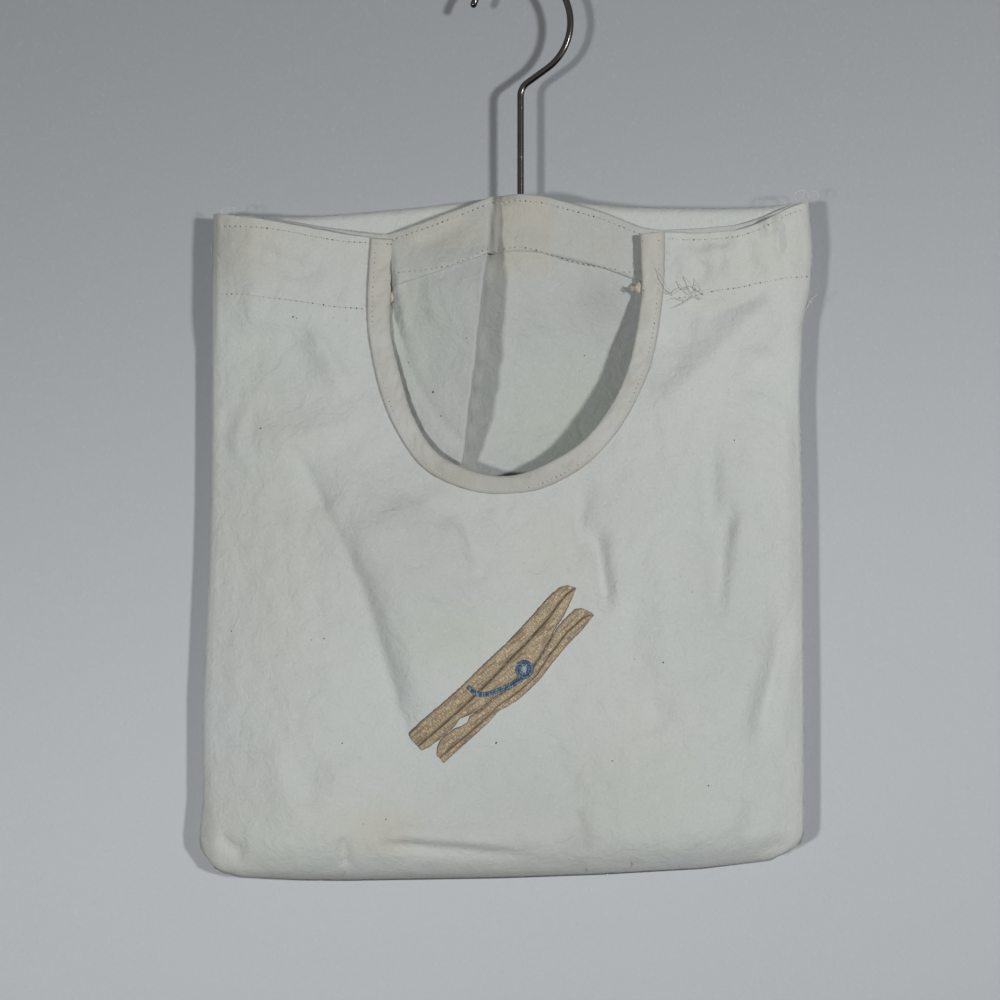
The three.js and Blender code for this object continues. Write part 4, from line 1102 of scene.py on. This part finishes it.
class PEGBAG_OT_stitching(Operator):
    """The machine stitching: hems, top edges, binding and casing, one stitch at a time"""

    bl_idname = "pegbag.stitching"
    bl_label = "Stitching"

    def execute(self, context):
        pitch, width = sizes().pitch / MM, sizes().thread / MM
        right_top = along_edge(front_top, 81, 158, 3, UNDER_EDGE)
        whole_top = along_edge(inner_top, -158, 148, 3, UNDER_EDGE)
        rows = [
            ("front_left_top_stitches", ["front_left_top_stitching"], LEFT_TOP_ROW, front_y, ON_FRONT),
            ("front_right_top_stitches", ["front_right_top_stitching"], right_top, front_y, ON_FRONT),
            ("front_left_hem_stitches", ["front_left_hem_stitching"], LEFT_HEM_ROW, front_y, ON_FRONT),
            ("front_right_hem_stitches", ["front_right_hem_stitching"], RIGHT_HEM_ROW, front_y, ON_FRONT),
            ("inner_top_stitches", ["inner_top_stitching"], whole_top, inner_y, ON_INNER),
            ("inner_hem_stitches", ["inner_hem_stitching"], INNER_HEM_ROW, inner_y, ON_INNER),
        ]
        for n, (name, nodes, route, surface, stand) in enumerate(rows):
            mesh = bmesh.new()
            stitch_row(mesh, flowing(route, 200), surface, stand, pitch, pitch * 0.7, width, 0.42, n * 3.1)
            finished(mesh, name, stitching(), replaces=nodes)
        # The binding's row, near its outer edge, with short rows across its ends and its join
        mesh = bmesh.new()
        outer, inner = binding_edges(121)
        row = outer + (inner - outer) * BINDING_ROW
        stitch_row(mesh, row[2:-2], front_y, 1.2, pitch * 0.9, pitch * 0.55, width * 0.8, 0.3, 9.0, 0.3)
        for share in (0.012, 0.988, 0.882):
            n = int(share * 120)
            across = [outer[n] + (inner[n] - outer[n]) * t for t in (0.1, 0.95)]
            stitch_row(mesh, across, front_y, 1.4, 2.0, 1.2, width * 0.9, 0.4, 4.0)
        finished(mesh, "binding_stitches", stitching(), replaces=["binding_stitching"])
        # The casing's row, behind the inner panel
        mesh = bmesh.new()
        casing = along_edge(back_top, -160.0, 150.0, 4.0, CASING_DEPTH + 3)
        stitch_row(mesh, casing, casing_y, 0.5, pitch, pitch * 0.72, width, 0.42, 17.0)
        finished(mesh, "casing_stitches", stitching(), replaces=["casing_stitching"])
        return {"FINISHED"}


class PEGBAG_OT_seams(Operator):
    """The seams of the two sides and the bottom, sewn through all layers inside the bag"""

    bl_idname = "pegbag.seams"
    bl_label = "Side and bottom seams"

    def execute(self, context):
        def between(x, z):
            return np.full(np.shape(x), SEAM_DEPTH)

        heights = np.arange(-142.0, -484.0, -4.0)
        seams = [
            ("left_seam_stitches", "left_seam_thread", [(float(left_edge(z)) + 2.2, z) for z in heights]),
            ("right_seam_stitches", "right_seam_thread", [(float(right_edge(z)) - 2.2, z) for z in heights]),
            ("bottom_seam_stitches", "bottom_seam_thread", along_edge(bottom_edge, -160.0, 146.0, 4.0, -2.2)),
        ]
        for name, node, route in seams:
            mesh = bmesh.new()
            stitch_row(mesh, route, between, 0.0, sizes().pitch / MM, 2.8, 0.6, 0.9, 2.0)
            finished(mesh, name, stitching(), replaces=[node])
        return {"FINISHED"}


# The embroidered peg, in mm along and across its own axis, which is turned and moved into place
MOTIF_PLACE = (-12.0, -393.0)
MOTIF_TURN = math.radians(40.5)
UPPER_TOP = [(-57.8, 8.6), (-57.1, 9.7), (-47.4, 10.5), (-32.1, 10.6), (-17.7, 10.9), (-0.7, 12.0),
             (15.9, 12.5), (31.6, 14.2), (44.0, 15.8), (52.0, 16.9), (57.8, 16.6), (62.1, 14.6),
             (64.4, 10.6)]
UPPER_SPLIT = [(-57.8, 0.6), (-45.5, 0.8), (-35.4, 0.8), (-19.7, 1.5), (-8.9, 2.3), (1.9, 3.2), (13.3, 4.6),
               (23.8, 5.2), (35.4, 6.9), (41.9, 7.4), (49.9, 9.7), (58.5, 11.3), (64.4, 10.4)]
UPPER_LOW = [(-57.8, -2.2), (-52.8, -3.6), (-41.6, -4.0), (-34.1, -3.6), (-30.3, -2.4), (-25.0, -4.1),
             (-20.2, -5.9), (-7.4, -6.3), (-1.3, -7.5), (8.3, -8.1), (19.1, -7.2), (28.7, -4.3),
             (36.1, -1.5), (43.2, 1.5), (47.8, 2.6), (53.9, 5.0), (64.4, 10.2)]
LOWER_TOP = [(-53.0, -9.4), (-49.9, -6.0), (-45.7, -4.1), (-41.6, -4.2), (-36.5, -4.4), (-32.2, -6.0),
             (-28.5, -6.4), (-25.0, -4.6), (-20.2, -6.0), (-7.4, -6.5), (-1.3, -7.6), (8.3, -8.2),
             (19.1, -7.3), (28.7, -4.5), (36.1, -1.7), (43.2, 1.1), (48.6, 1.7), (56.5, 2.0), (59.8, 0.0),
             (62.1, -5.4)]
LOWER_SPLIT = [(-53.0, -12.0), (-44.0, -11.9), (-31.2, -11.9), (-17.0, -11.6), (-9.5, -10.8), (4.2, -12.2),
               (17.0, -11.8), (29.0, -8.2), (45.0, -4.8), (56.0, -4.6), (62.1, -6.3)]
LOWER_LOW = [(-53.0, -15.4), (-44.0, -15.1), (-31.5, -14.7), (-19.0, -14.2), (-12.0, -13.1), (-4.3, -14.7),
             (1.2, -15.4), (11.6, -15.1), (17.0, -14.7), (28.2, -12.2), (41.1, -10.1), (51.9, -9.2),
             (62.1, -7.3)]
SPRING_ARM = [(9.6, -7.4), (4.5, -6.9), (-1.0, -5.4), (-7.0, -3.0), (-12.0, -0.4), (-14.6, 3.4),
              (-15.2, 8.6)]
SPRING_COIL = (14.0, -4.9)
COIL_ROUNDS = ((4.15, 0.85), (2.55, 0.75))  # radius of each round of thread, and of the thread
EYE_RADII = (1.3, 0.6, 2.1)
ARM_THREAD = 0.72
ARM_HALF_WIDTH = 0.65
BACKING = 0.4  # thickness of the padded stitches
SPLIT_SHADE = 0.35  # how dark the painted shadow line between two bands is


def peg_spot(along, across):
    """A point of the embroidery on the bag."""
    c, s = math.cos(MOTIF_TURN), math.sin(MOTIF_TURN)
    return MOTIF_PLACE[0] + along * c - across * s, MOTIF_PLACE[1] + along * s + across * c


def satin_band(mesh, low, high, crown, stand=0.45):
    """One band of satin stitch between two edges, raised in its middle."""
    low, high = np.array(low), np.array(high)
    start, end = max(low[0, 0], high[0, 0]), min(low[-1, 0], high[-1, 0])
    verts, along, share = painted_grid(mesh, int((end - start) / 0.9), 12, "band")
    along = lerp(start, end, along)
    ragged = np.array([noise.noise((a * 1.7, 3.0 * round(s), high[0, 1])) for a, s in zip(along, share)])
    from_low, from_high = np.interp(along, *low.T), np.interp(along, *high.T)
    across = lerp(from_low, from_high, share) + 0.28 * ragged * (np.abs(share - 0.5) > 0.49)
    x, z = peg_spot(along, across)
    dome = 1 - np.abs(2 * share - 1) ** 2.6
    y = front_y(x, z) - stand - crown * dome * np.clip((from_high - from_low) / 5, 0.15, 1)
    # painted highlight along the band's crown, painted shade at its edges and a painted shadow line on its rim
    lit = 1 - np.abs(2 * share - 1) ** 1.5
    split = np.where((share < 0.01) | (share > 0.99), SPLIT_SHADE, 0.0)
    lay_out(mesh, verts, (x, y, z), "band", np.stack([lit, split, 0 * lit], axis=1), (along, across))


class PEGBAG_OT_embroidery(Operator):
    """The embroidered spring peg: four bands of brown satin stitch and a blue spring"""

    bl_idname = "pegbag.embroidery"
    bl_label = "Embroidered peg"

    def execute(self, context):
        brown = once("peg_thread", satin, colour("peg_light"), colour("peg_middle"), colour("peg_dark"),
                     (136, 112, 92))
        legs = [
            ("peg_upper_leg", "peg_motif_upper_leg", (
                (UPPER_SPLIT, UPPER_TOP, 0.75), (UPPER_LOW, UPPER_SPLIT, 0.6))),
            ("peg_lower_leg", "peg_motif_lower_leg", (
                (LOWER_SPLIT, LOWER_TOP, 0.65), (LOWER_LOW, LOWER_SPLIT, 0.5))),
        ]
        for name, node, bands in legs:
            mesh = bmesh.new()
            for low, high, crown in bands:
                satin_band(mesh, low, high, crown)
            piece = finished(mesh, name, [brown], replaces=[node])
            thicken(piece, BACKING * MM, -1)
        self.spring()
        return {"FINISHED"}

    def spring(self):
        # a lit and a dark copy of the spring's blue: painted highlight and shade
        lit = tuple(min(c + 20, 200) for c in colour("spring", 1.9))
        blue = once("spring_thread", blue_thread, lit, colour("spring", 0.62))
        pale_eye = once("spring_eye", blue_thread, (200, 214, 222), (120, 146, 176))
        cx, cz = peg_spot(*SPRING_COIL)
        mesh = bmesh.new()
        # The coil: rounds of thread spun about its eye
        for radius, thick in COIL_ROUNDS:
            upright = Matrix.Translation((radius * MM, 0, 0)) @ Matrix.Rotation(math.pi / 2, 4, "X")
            section = bmesh.ops.create_circle(
                mesh, cap_ends=False, segments=7, radius=thick * MM, matrix=upright)["verts"]
            bmesh.ops.spin(mesh, geom=section + rim(section), cent=(0, 0, 0), axis=(0, 0, 1),
                           angle=2 * math.pi, steps=26, use_merge=True)
        bmesh.ops.rotate(mesh, cent=(0, 0, 0), matrix=Matrix.Rotation(math.pi / 2, 3, "X"), verts=mesh.verts)
        for v in mesh.verts:
            x, z = cx + v.co.x / MM, cz + v.co.z / MM * 1.06
            v.co = spot(x, depth(front_y, x, z) - 1.15 + 0.7 * v.co.y / MM, z)
        bmesh.ops.recalc_face_normals(mesh, faces=mesh.faces)
        # The arm: two threads laid side by side and caught down, with a turned end
        steps = np.arange(46)
        arm = flowing(SPRING_ARM, len(steps))
        ahead = np.gradient(arm, axis=0)
        ahead /= np.linalg.norm(ahead, axis=1)[:, None]
        taper = np.interp(steps, [0, 8, 30, 45], [1.5, 1.15, 0.9, 0.8])
        for shift in (ARM_HALF_WIDTH, -ARM_HALF_WIDTH):
            line = arm + np.stack([-ahead[:, 1], ahead[:, 0]], axis=1) * (shift * taper)[:, None]
            x, z = peg_spot(line[:, 0], line[:, 1])
            y = front_y(x, z) - 1.25 + 0.12 * np.sin(steps * 2.1 + shift)
            sweep(mesh, zip(x, y, z), ARM_THREAD, 6)
        bead(mesh, (cx, depth(front_y, cx, cz) - 0.9, cz), EYE_RADII, 12, 6, material=1)
        uv = mesh.loops.layers.uv.new("cloth")
        for face in mesh.faces:
            for loop in face.loops:
                place = loop.vert.co
                turn = math.atan2(place.z - cz * MM, place.x - cx * MM)
                loop[uv].uv = (turn * 0.005 + place.x, place.z)
        finished(mesh, "peg_spring", [blue, pale_eye], replaces=["peg_motif_spring"])


# Loose threads and lint

# Loose ends: which surface they start on, how far out they stand, and their route
LOOSE = [
    # loops at the right top corner
    ("front", 1.0, [(153.6, -128.6), (152.6, -125), (155.4, -122.6), (160.4, -122.8), (161.6, -126)]),
    ("front", 1.4, [(157.4, -128), (157.8, -124), (161.6, -121.8), (166.2, -122.2), (167.2, -125.4)]),
    # curls at the left top corner
    ("front", 0.6, [(-167, -136), (-166.4, -132.6), (-163.6, -131.6), (-162.8, -134.6)]),
    ("front", 0.9, [(-163, -135), (-161.5, -132), (-159, -133.2), (-159.6, -136)]),
    # the tangle where the binding was mended
    ("front", 1.8, [(73, -164), (76, -170), (79, -176), (84, -182)]),
    ("front", 2.4, [(77, -178), (83, -181), (89, -177.5), (94, -181), (97, -178)]),
    ("front", 2.0, [(90, -171.5), (93.5, -177), (96, -181.5), (99, -184)]),
    ("front", 1.6, [(96, -172), (97.5, -177), (101, -181.5)]),
    ("front", 1.5, [(81, -184.6), (86, -183.4), (91, -184.8), (96, -182.8), (102, -183.6)]),
    ("front", 1.2, [(83, -189), (88, -187), (92, -184.5), (95, -181.5)]),
    ("front", 1.9, [(86, -174), (90, -178.6), (95, -176.4), (99, -179.4), (104, -178.2)]),
    # strands along the right edge
    ("edge", 0.0, [(157.8, -193), (159.8, -189), (163, -183), (166.5, -179.6)]),
    ("edge", 0.0, [(158.2, -185), (160.6, -183), (163.4, -184.4)]),
    # fuzz at the left edge and at the foot
    ("edge", 0.0, [(-171.6, -150), (-173.4, -152.6), (-173, -156)]),
    ("front", 0.5, [(-97, -500), (-98.4, -503.6), (-97.6, -506.8)]),
    ("front", 0.5, [(36, -498), (37.2, -501.6), (36.2, -504)]),
    ("front", 0.5, [(61, -494), (62.2, -497.4), (61, -500.6)]),
]
SPECKS = [(-126.2, -193.5, 0.5), (-124.2, -194.2, 0.3), (-144.4, -255.2, 0.5), (-108, -371, 0.4), (78, -384, 0.45),
          (-13.6, -428, 0.55), (-27.5, -421, 0.4), (-98, -428.4, 0.4), (103, -452, 0.45), (-74, -470, 0.4),
          (-161, -368, 0.4), (118, -262, 0.4), (50, -438, 0.4)]
INNER_SPECKS = [(-62.2, -218.8, 0.4), (-48.4, -235.4, 0.6), (-44, -248.6, 0.5), (-30, -206, 0.35), (36, -214, 0.35)]
LOOSE_RADIUS = 0.17
FRAY_RADIUS = 0.2

# Raw corners of the hem that stick out from under the binding: place, half width and height, heading, ends
RAW_CORNERS = [(-71, -181, 5.6, 4.2, 0.0, 9), (65.4, -177.4, 2.6, 3.4, math.pi, 12)]


class PEGBAG_OT_loose_threads(Operator):
    """Frayed ends, the tangle beside the binding, tufts at the ends of the hem, and lint"""

    bl_idname = "pegbag.loose_threads"
    bl_label = "Loose threads and lint"

    def execute(self, context):
        threads = once("loose_thread", yarn, (214, 215, 210), (172, 170, 162), 3200.0)
        raw = once("raw_edge", yarn, (190, 186, 170), (138, 132, 116), 2200.0)
        mesh = bmesh.new()
        for where, stand, points in LOOSE:
            x, z = flowing(points, 6 * len(points)).T
            if where == "edge":
                y = 3.6 - 0.15 * np.arange(len(x))
            else:
                arch = np.sin(np.linspace(0, math.pi, len(x)))
                y = front_y(x, np.minimum(z, front_top(x) - 0.5)) - 0.6 - stand * arch
            sweep(mesh, zip(x, y, z), LOOSE_RADIUS, 5)
        for corner in RAW_CORNERS:
            self.raw_corner(mesh, *corner)
        finished(mesh, "loose_threads", [threads, raw])
        mesh = bmesh.new()
        for spots, surface in ((SPECKS, front_y), (INNER_SPECKS, inner_y)):
            for x, z, radius in spots:
                place = (x, depth(surface, x, z) - ON_FRONT, z)
                bead(mesh, place, (radius * 1.3, 0.2, radius * 0.8), 6, 4, turn=x)
        finished(mesh, "lint", stitching()[1:])
        return {"FINISHED"}

    def raw_corner(self, mesh, cx, cz, across, tall, heading, count):
        """A small folded flap and its frayed ends."""
        base = depth(front_y, cx, cz) + 1.2
        flap = bmesh.ops.create_uvsphere(mesh, u_segments=14, v_segments=9, radius=1)["verts"]
        for v in flap:
            lump = noise.noise((v.co.x * 1.7 + cx, v.co.y * 1.5, v.co.z * 1.7))
            taper = 1 - 0.45 * v.co.x * math.cos(heading)
            v.co = spot(cx + v.co.x * across * (1 + 0.3 * lump), base + v.co.y * 1.2 + 0.8 * lump,
                        cz + v.co.z * tall * taper * (1 + 0.4 * lump))
        for face in {f for v in flap for f in v.link_faces}:
            face.material_index = 1
        x = cx + across * 0.6 * math.cos(heading)
        for i in range(count):
            z = cz + tall * 0.8 * noise.noise((i * 1.7, 9.0, cx))
            turn = heading + 0.7 * noise.noise((i * 0.9, cx, 1.0))
            bends = [turn + 0.5 * noise.noise((i * 2.1, k * 0.7, cx)) for k in range(4)]
            points = [(x + k * 1.3 * math.cos(bend), base + 0.3 * k * math.sin(i), z + k * math.sin(bend))
                      for k, bend in enumerate(bends)]
            sweep(mesh, points, FRAY_RADIUS, 4, material=1)


# Hanger and hook

class PEGBAG_OT_hanger(Operator):
    """The wooden bar in the casing, with the ferrule and the washer that the hook turns in"""

    bl_idname = "pegbag.hanger"
    bl_label = "Hanger bar, ferrule and washer"

    def execute(self, context):
        bar = once("raw_beech", wood, colour("wood"), colour("wood", 0.72))
        bright = once("plated_steel", steel, (150, 150, 150), 0.3, (300, 300, 2600))
        for node, material in (("hanger_bar", bar), ("hook_ferrule", bright), ("hook_washer", bright)):
            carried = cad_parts[node]
            if not carried.material_slots:
                carried.data.materials.append(material)
            for slot in carried.material_slots:
                slot.material = material
        return {"FINISHED"}


# The hook's line, as in the solids: crown, wider flank, slant, neck bend, straight neck, riveted end
CROWN_RADIUS = 27.5
CROWN_CENTRE = (0.0, -25.65)
FLANK_RADIUS = 32.0
TIP_ANGLE = math.radians(163)
FLANK_ANGLE = math.radians(25)
SLANT_ANGLE = math.radians(54)
NECK_BEND_RADIUS = 9.0
NECK_END = -162.6
RIVET_RADIUS = 3.5


def on_arc(centre, radius, angle):
    """A point of an arc, as (width, height)."""
    return centre[0] + radius * math.cos(angle), centre[1] + radius * math.sin(angle)


def middle_of(verts):
    return sum((v.co for v in verts), Vector()) / len(verts)


class PEGBAG_OT_hook(Operator):
    """The wire hook, bent from one length: spun round its arcs and drawn down its neck to the riveted end"""

    bl_idname = "pegbag.hook"
    bl_label = "Wire hook"

    def execute(self, context):
        radius = sizes().wire / MM / 2
        mesh = bmesh.new()
        tip = on_arc(CROWN_CENTRE, CROWN_RADIUS, TIP_ANGLE)
        facing = Matrix.Translation(spot(tip[0], 0, tip[1])) @ Matrix.Rotation(-TIP_ANGLE, 4, "Y")
        first = bmesh.ops.create_circle(mesh, cap_ends=False, segments=20, radius=radius * MM, matrix=facing)["verts"]

        def bend(verts, centre, angle, steps):
            made = bmesh.ops.spin(
                mesh, geom=list(verts) + rim(verts), cent=spot(centre[0], 0, centre[1]), axis=(0, 1, 0),
                angle=angle, steps=steps, use_merge=False, use_duplicate=False)
            return [g for g in made["geom_last"] if isinstance(g, bmesh.types.BMVert)]

        def draw(verts, dx, dz, steps=1):
            for _ in range(steps):
                verts = grown(mesh, verts)
                bmesh.ops.translate(mesh, verts=verts, vec=spot(dx / steps, 0, dz / steps))
            return verts

        def widen(verts, factor):
            middle = middle_of(verts)
            for v in verts:
                v.co = middle + (v.co - middle) * factor

        flank = on_arc(CROWN_CENTRE, CROWN_RADIUS - FLANK_RADIUS, FLANK_ANGLE)
        slant = on_arc(flank, FLANK_RADIUS, -SLANT_ANGLE)
        corner_z = slant[1] - slant[0] / math.tan(SLANT_ANGLE)
        bend_z = corner_z - NECK_BEND_RADIUS * math.tan(SLANT_ANGLE / 2)
        bend_top = on_arc((NECK_BEND_RADIUS, bend_z), NECK_BEND_RADIUS, math.pi - SLANT_ANGLE)
        ring = bend(list(first), CROWN_CENTRE, TIP_ANGLE - FLANK_ANGLE, 44)
        ring = bend(ring, flank, FLANK_ANGLE + SLANT_ANGLE, 28)
        ring = draw(ring, bend_top[0] - slant[0], bend_top[1] - slant[1], 4)
        ring = bend(ring, (NECK_BEND_RADIUS, bend_z), -SLANT_ANGLE, 14)
        ring = draw(ring, 0, NECK_END - bend_z, 20)
        # The riveted end under the washer
        rivet = draw(ring, 0, -0.05)
        widen(rivet, RIVET_RADIUS / radius)
        rivet = draw(draw(rivet, 0, -1.2), 0, -0.7)
        widen(rivet, 0.72)
        bmesh.ops.contextual_create(mesh, geom=rim(rivet))
        # The domed tip
        outward = Vector((-math.sin(TIP_ANGLE), 0, math.cos(TIP_ANGLE)))
        dome = list(first)
        for share in (0.4, 0.75, 0.95):
            dome = grown(mesh, dome)
            middle = middle_of(dome)
            angle = share * math.pi / 2
            for v in dome:
                spoke = (v.co - middle).normalized()
                v.co = spot(tip[0], 0, tip[1]) + (outward * math.sin(angle) + spoke * math.cos(angle)) * radius * MM
        bmesh.ops.contextual_create(mesh, geom=rim(dome))
        bmesh.ops.remove_doubles(mesh, verts=mesh.verts, dist=1e-6)
        bmesh.ops.recalc_face_normals(mesh, faces=mesh.faces)
        dark = once("dark_chrome", steel, colour("hook"), 0.16, (900, 900, 120))
        finished(mesh, "hook_wire", [dark], body="hook", replaces=["hook"])
        return {"FINISHED"}


# Stage, in metres

CAMERA_PLACE = (-0.0115, -1.2, -0.295)
FRAME_WIDTH = 0.56  # what the picture takes in at the hook's depth
SENSOR = 36
FLOOR = -1.0
WALL_TOP = 0.9
WALL_HALF = 1.6
WALL_TURN = 0.024  # the bag hangs a little nearer the wall with its left side
DIM_FILL, BACKGROUND = 0.04, 0.62
LAMPS = [
    # name, place, what it is turned to, watts, side of the square lamp, width of its beam in degrees, colour
    ("right_lamp", (2.568, -3.211, -0.074), (0.310, 0, -0.22), 4.02, 0.33, 33.4, (1.0, 0.998, 0.992)),
    ("left_lamp", (-1.71, -2.85, -0.631), (-0.255, 0, -0.476), 3.93, 0.26, 47.5, (1.0, 0.998, 0.992)),
    ("back_lamp", (0.3, 1.9, 0.1), (0, 0, -0.40), 4.5, 1.2, 180, (1.0, 1.0, 1.0)),
]


def stood(name, data):
    """A new object in the scene."""
    piece = bpy.data.objects.new(name, data)
    bpy.context.collection.objects.link(piece)
    return piece


def sheet_of(name, corners, material):
    """A flat rectangle for the stage, its corners from left to right and from front or foot to back or top."""
    mesh = bmesh.new()
    verts = bmesh.ops.create_grid(mesh, x_segments=1, y_segments=1, size=1)["verts"]
    for vertex, corner in zip(sorted(verts, key=lambda v: (v.co.y, v.co.x)), corners):
        vertex.co = corner
    data = bpy.data.meshes.new(name)
    mesh.to_mesh(data)
    mesh.free()
    data.materials.append(material)
    piece = stood(name, data)
    return piece


class PEGBAG_OT_stage(Operator):
    """The plain pale wall and floor, the lamps and the camera"""

    bl_idname = "pegbag.stage"
    bl_label = "Stage, lamps and camera"

    def execute(self, context):
        gap = sizes().wall_gap
        wall = once("pale_wall", plaster, colour("wall"), colour("wall", 0.82))
        corners = [(side * WALL_HALF, gap + side * WALL_TURN, z) for z in (FLOOR, WALL_TOP) for side in (-1, 1)]
        sheet_of("wall", corners, wall).visible_shadow = False
        ground = once("pale_floor", plaster, colour("wall"), colour("wall"))
        sheet_of("floor", [(x, y, FLOOR) for y in (-2.6, 2.4) for x in (-2, 2)], ground)
        for name, place, target, watts, side, beam, tone in LAMPS:
            lamp = bpy.data.lights.new(name, "AREA")
            lamp.shape = "SQUARE"
            lamp.size = side
            lamp.energy = watts
            lamp.spread = math.radians(beam)
            lamp.color = tone
            holder = stood(name, lamp)
            holder.location = place
            holder.rotation_euler = (Vector(target) - Vector(place)).to_track_quat("-Z", "Y").to_euler()
        self.surroundings()
        camera = bpy.data.cameras.new("camera")
        camera.sensor_width = SENSOR
        camera.lens = SENSOR * -CAMERA_PLACE[1] / FRAME_WIDTH
        eye = stood("camera", camera)
        eye.location = CAMERA_PLACE
        eye.rotation_euler = (math.pi / 2, 0, 0)
        bpy.context.scene.camera = eye
        bpy.context.scene.view_settings.view_transform = "Standard"
        return {"FINISHED"}

    def surroundings(self):
        """A dim soft fill from all round, and a pale background where nothing stands."""
        world = bpy.data.worlds.new("surroundings")
        bpy.context.scene.world = world
        world.use_nodes = True
        tree = world.node_tree
        background = next(n for n in tree.nodes if n.type == "BACKGROUND")
        background.inputs["Color"].default_value = (0.96, 0.98, 1.0, 1)
        rays = tree.nodes.new("ShaderNodeLightPath")
        seen = rays.outputs["Is Camera Ray"]
        for kind in ("Is Glossy Ray", "Is Transmission Ray"):
            either = tree.nodes.new("ShaderNodeMath")
            either.operation = "MAXIMUM"
            tree.links.new(seen, either.inputs[0])
            tree.links.new(rays.outputs[kind], either.inputs[1])
            seen = either.outputs[0]
        strength = tree.nodes.new("ShaderNodeMapRange")
        strength.inputs["To Min"].default_value = DIM_FILL
        strength.inputs["To Max"].default_value = BACKGROUND
        tree.links.new(seen, strength.inputs["Value"])
        tree.links.new(strength.outputs[0], background.inputs["Strength"])


# The add-on

OPERATORS = (
    PEGBAG_OT_stage, PEGBAG_OT_hanger, PEGBAG_OT_hook, PEGBAG_OT_back_panel, PEGBAG_OT_inner_panel,
    PEGBAG_OT_front_panel, PEGBAG_OT_mouth_binding, PEGBAG_OT_stitching, PEGBAG_OT_seams,
    PEGBAG_OT_embroidery, PEGBAG_OT_loose_threads,
)


class PEGBAG_PT_panel(Panel):
    """Lists the bag's sizes, colours and pieces"""

    bl_idname = "PEGBAG_PT_panel"
    bl_label = "Peg bag"
    bl_space_type = "VIEW_3D"
    bl_region_type = "UI"
    bl_category = "Peg bag"

    def draw(self, context):
        layout = self.layout
        for settings in (context.scene.peg_bag_sizes, context.scene.peg_bag_colours):
            column = layout.column(align=True)
            for name in settings.__annotations__:
                column.prop(settings, name)
        column = layout.column(align=True)
        for operator in OPERATORS:
            column.operator(operator.bl_idname)


CLASSES = (BagSizes, BagColours, *OPERATORS, PEGBAG_PT_panel)


def register():
    for made in CLASSES:
        bpy.utils.register_class(made)
    bpy.types.Scene.peg_bag_sizes = PointerProperty(type=BagSizes)
    bpy.types.Scene.peg_bag_colours = PointerProperty(type=BagColours)


def unregister():
    del bpy.types.Scene.peg_bag_colours
    del bpy.types.Scene.peg_bag_sizes
    for made in reversed(CLASSES):
        bpy.utils.unregister_class(made)


def main():
    register()
    for operator in OPERATORS:
        family, name = operator.bl_idname.split(".")
        getattr(getattr(bpy.ops, family), name)()


if __name__ == "__main__":
    main()
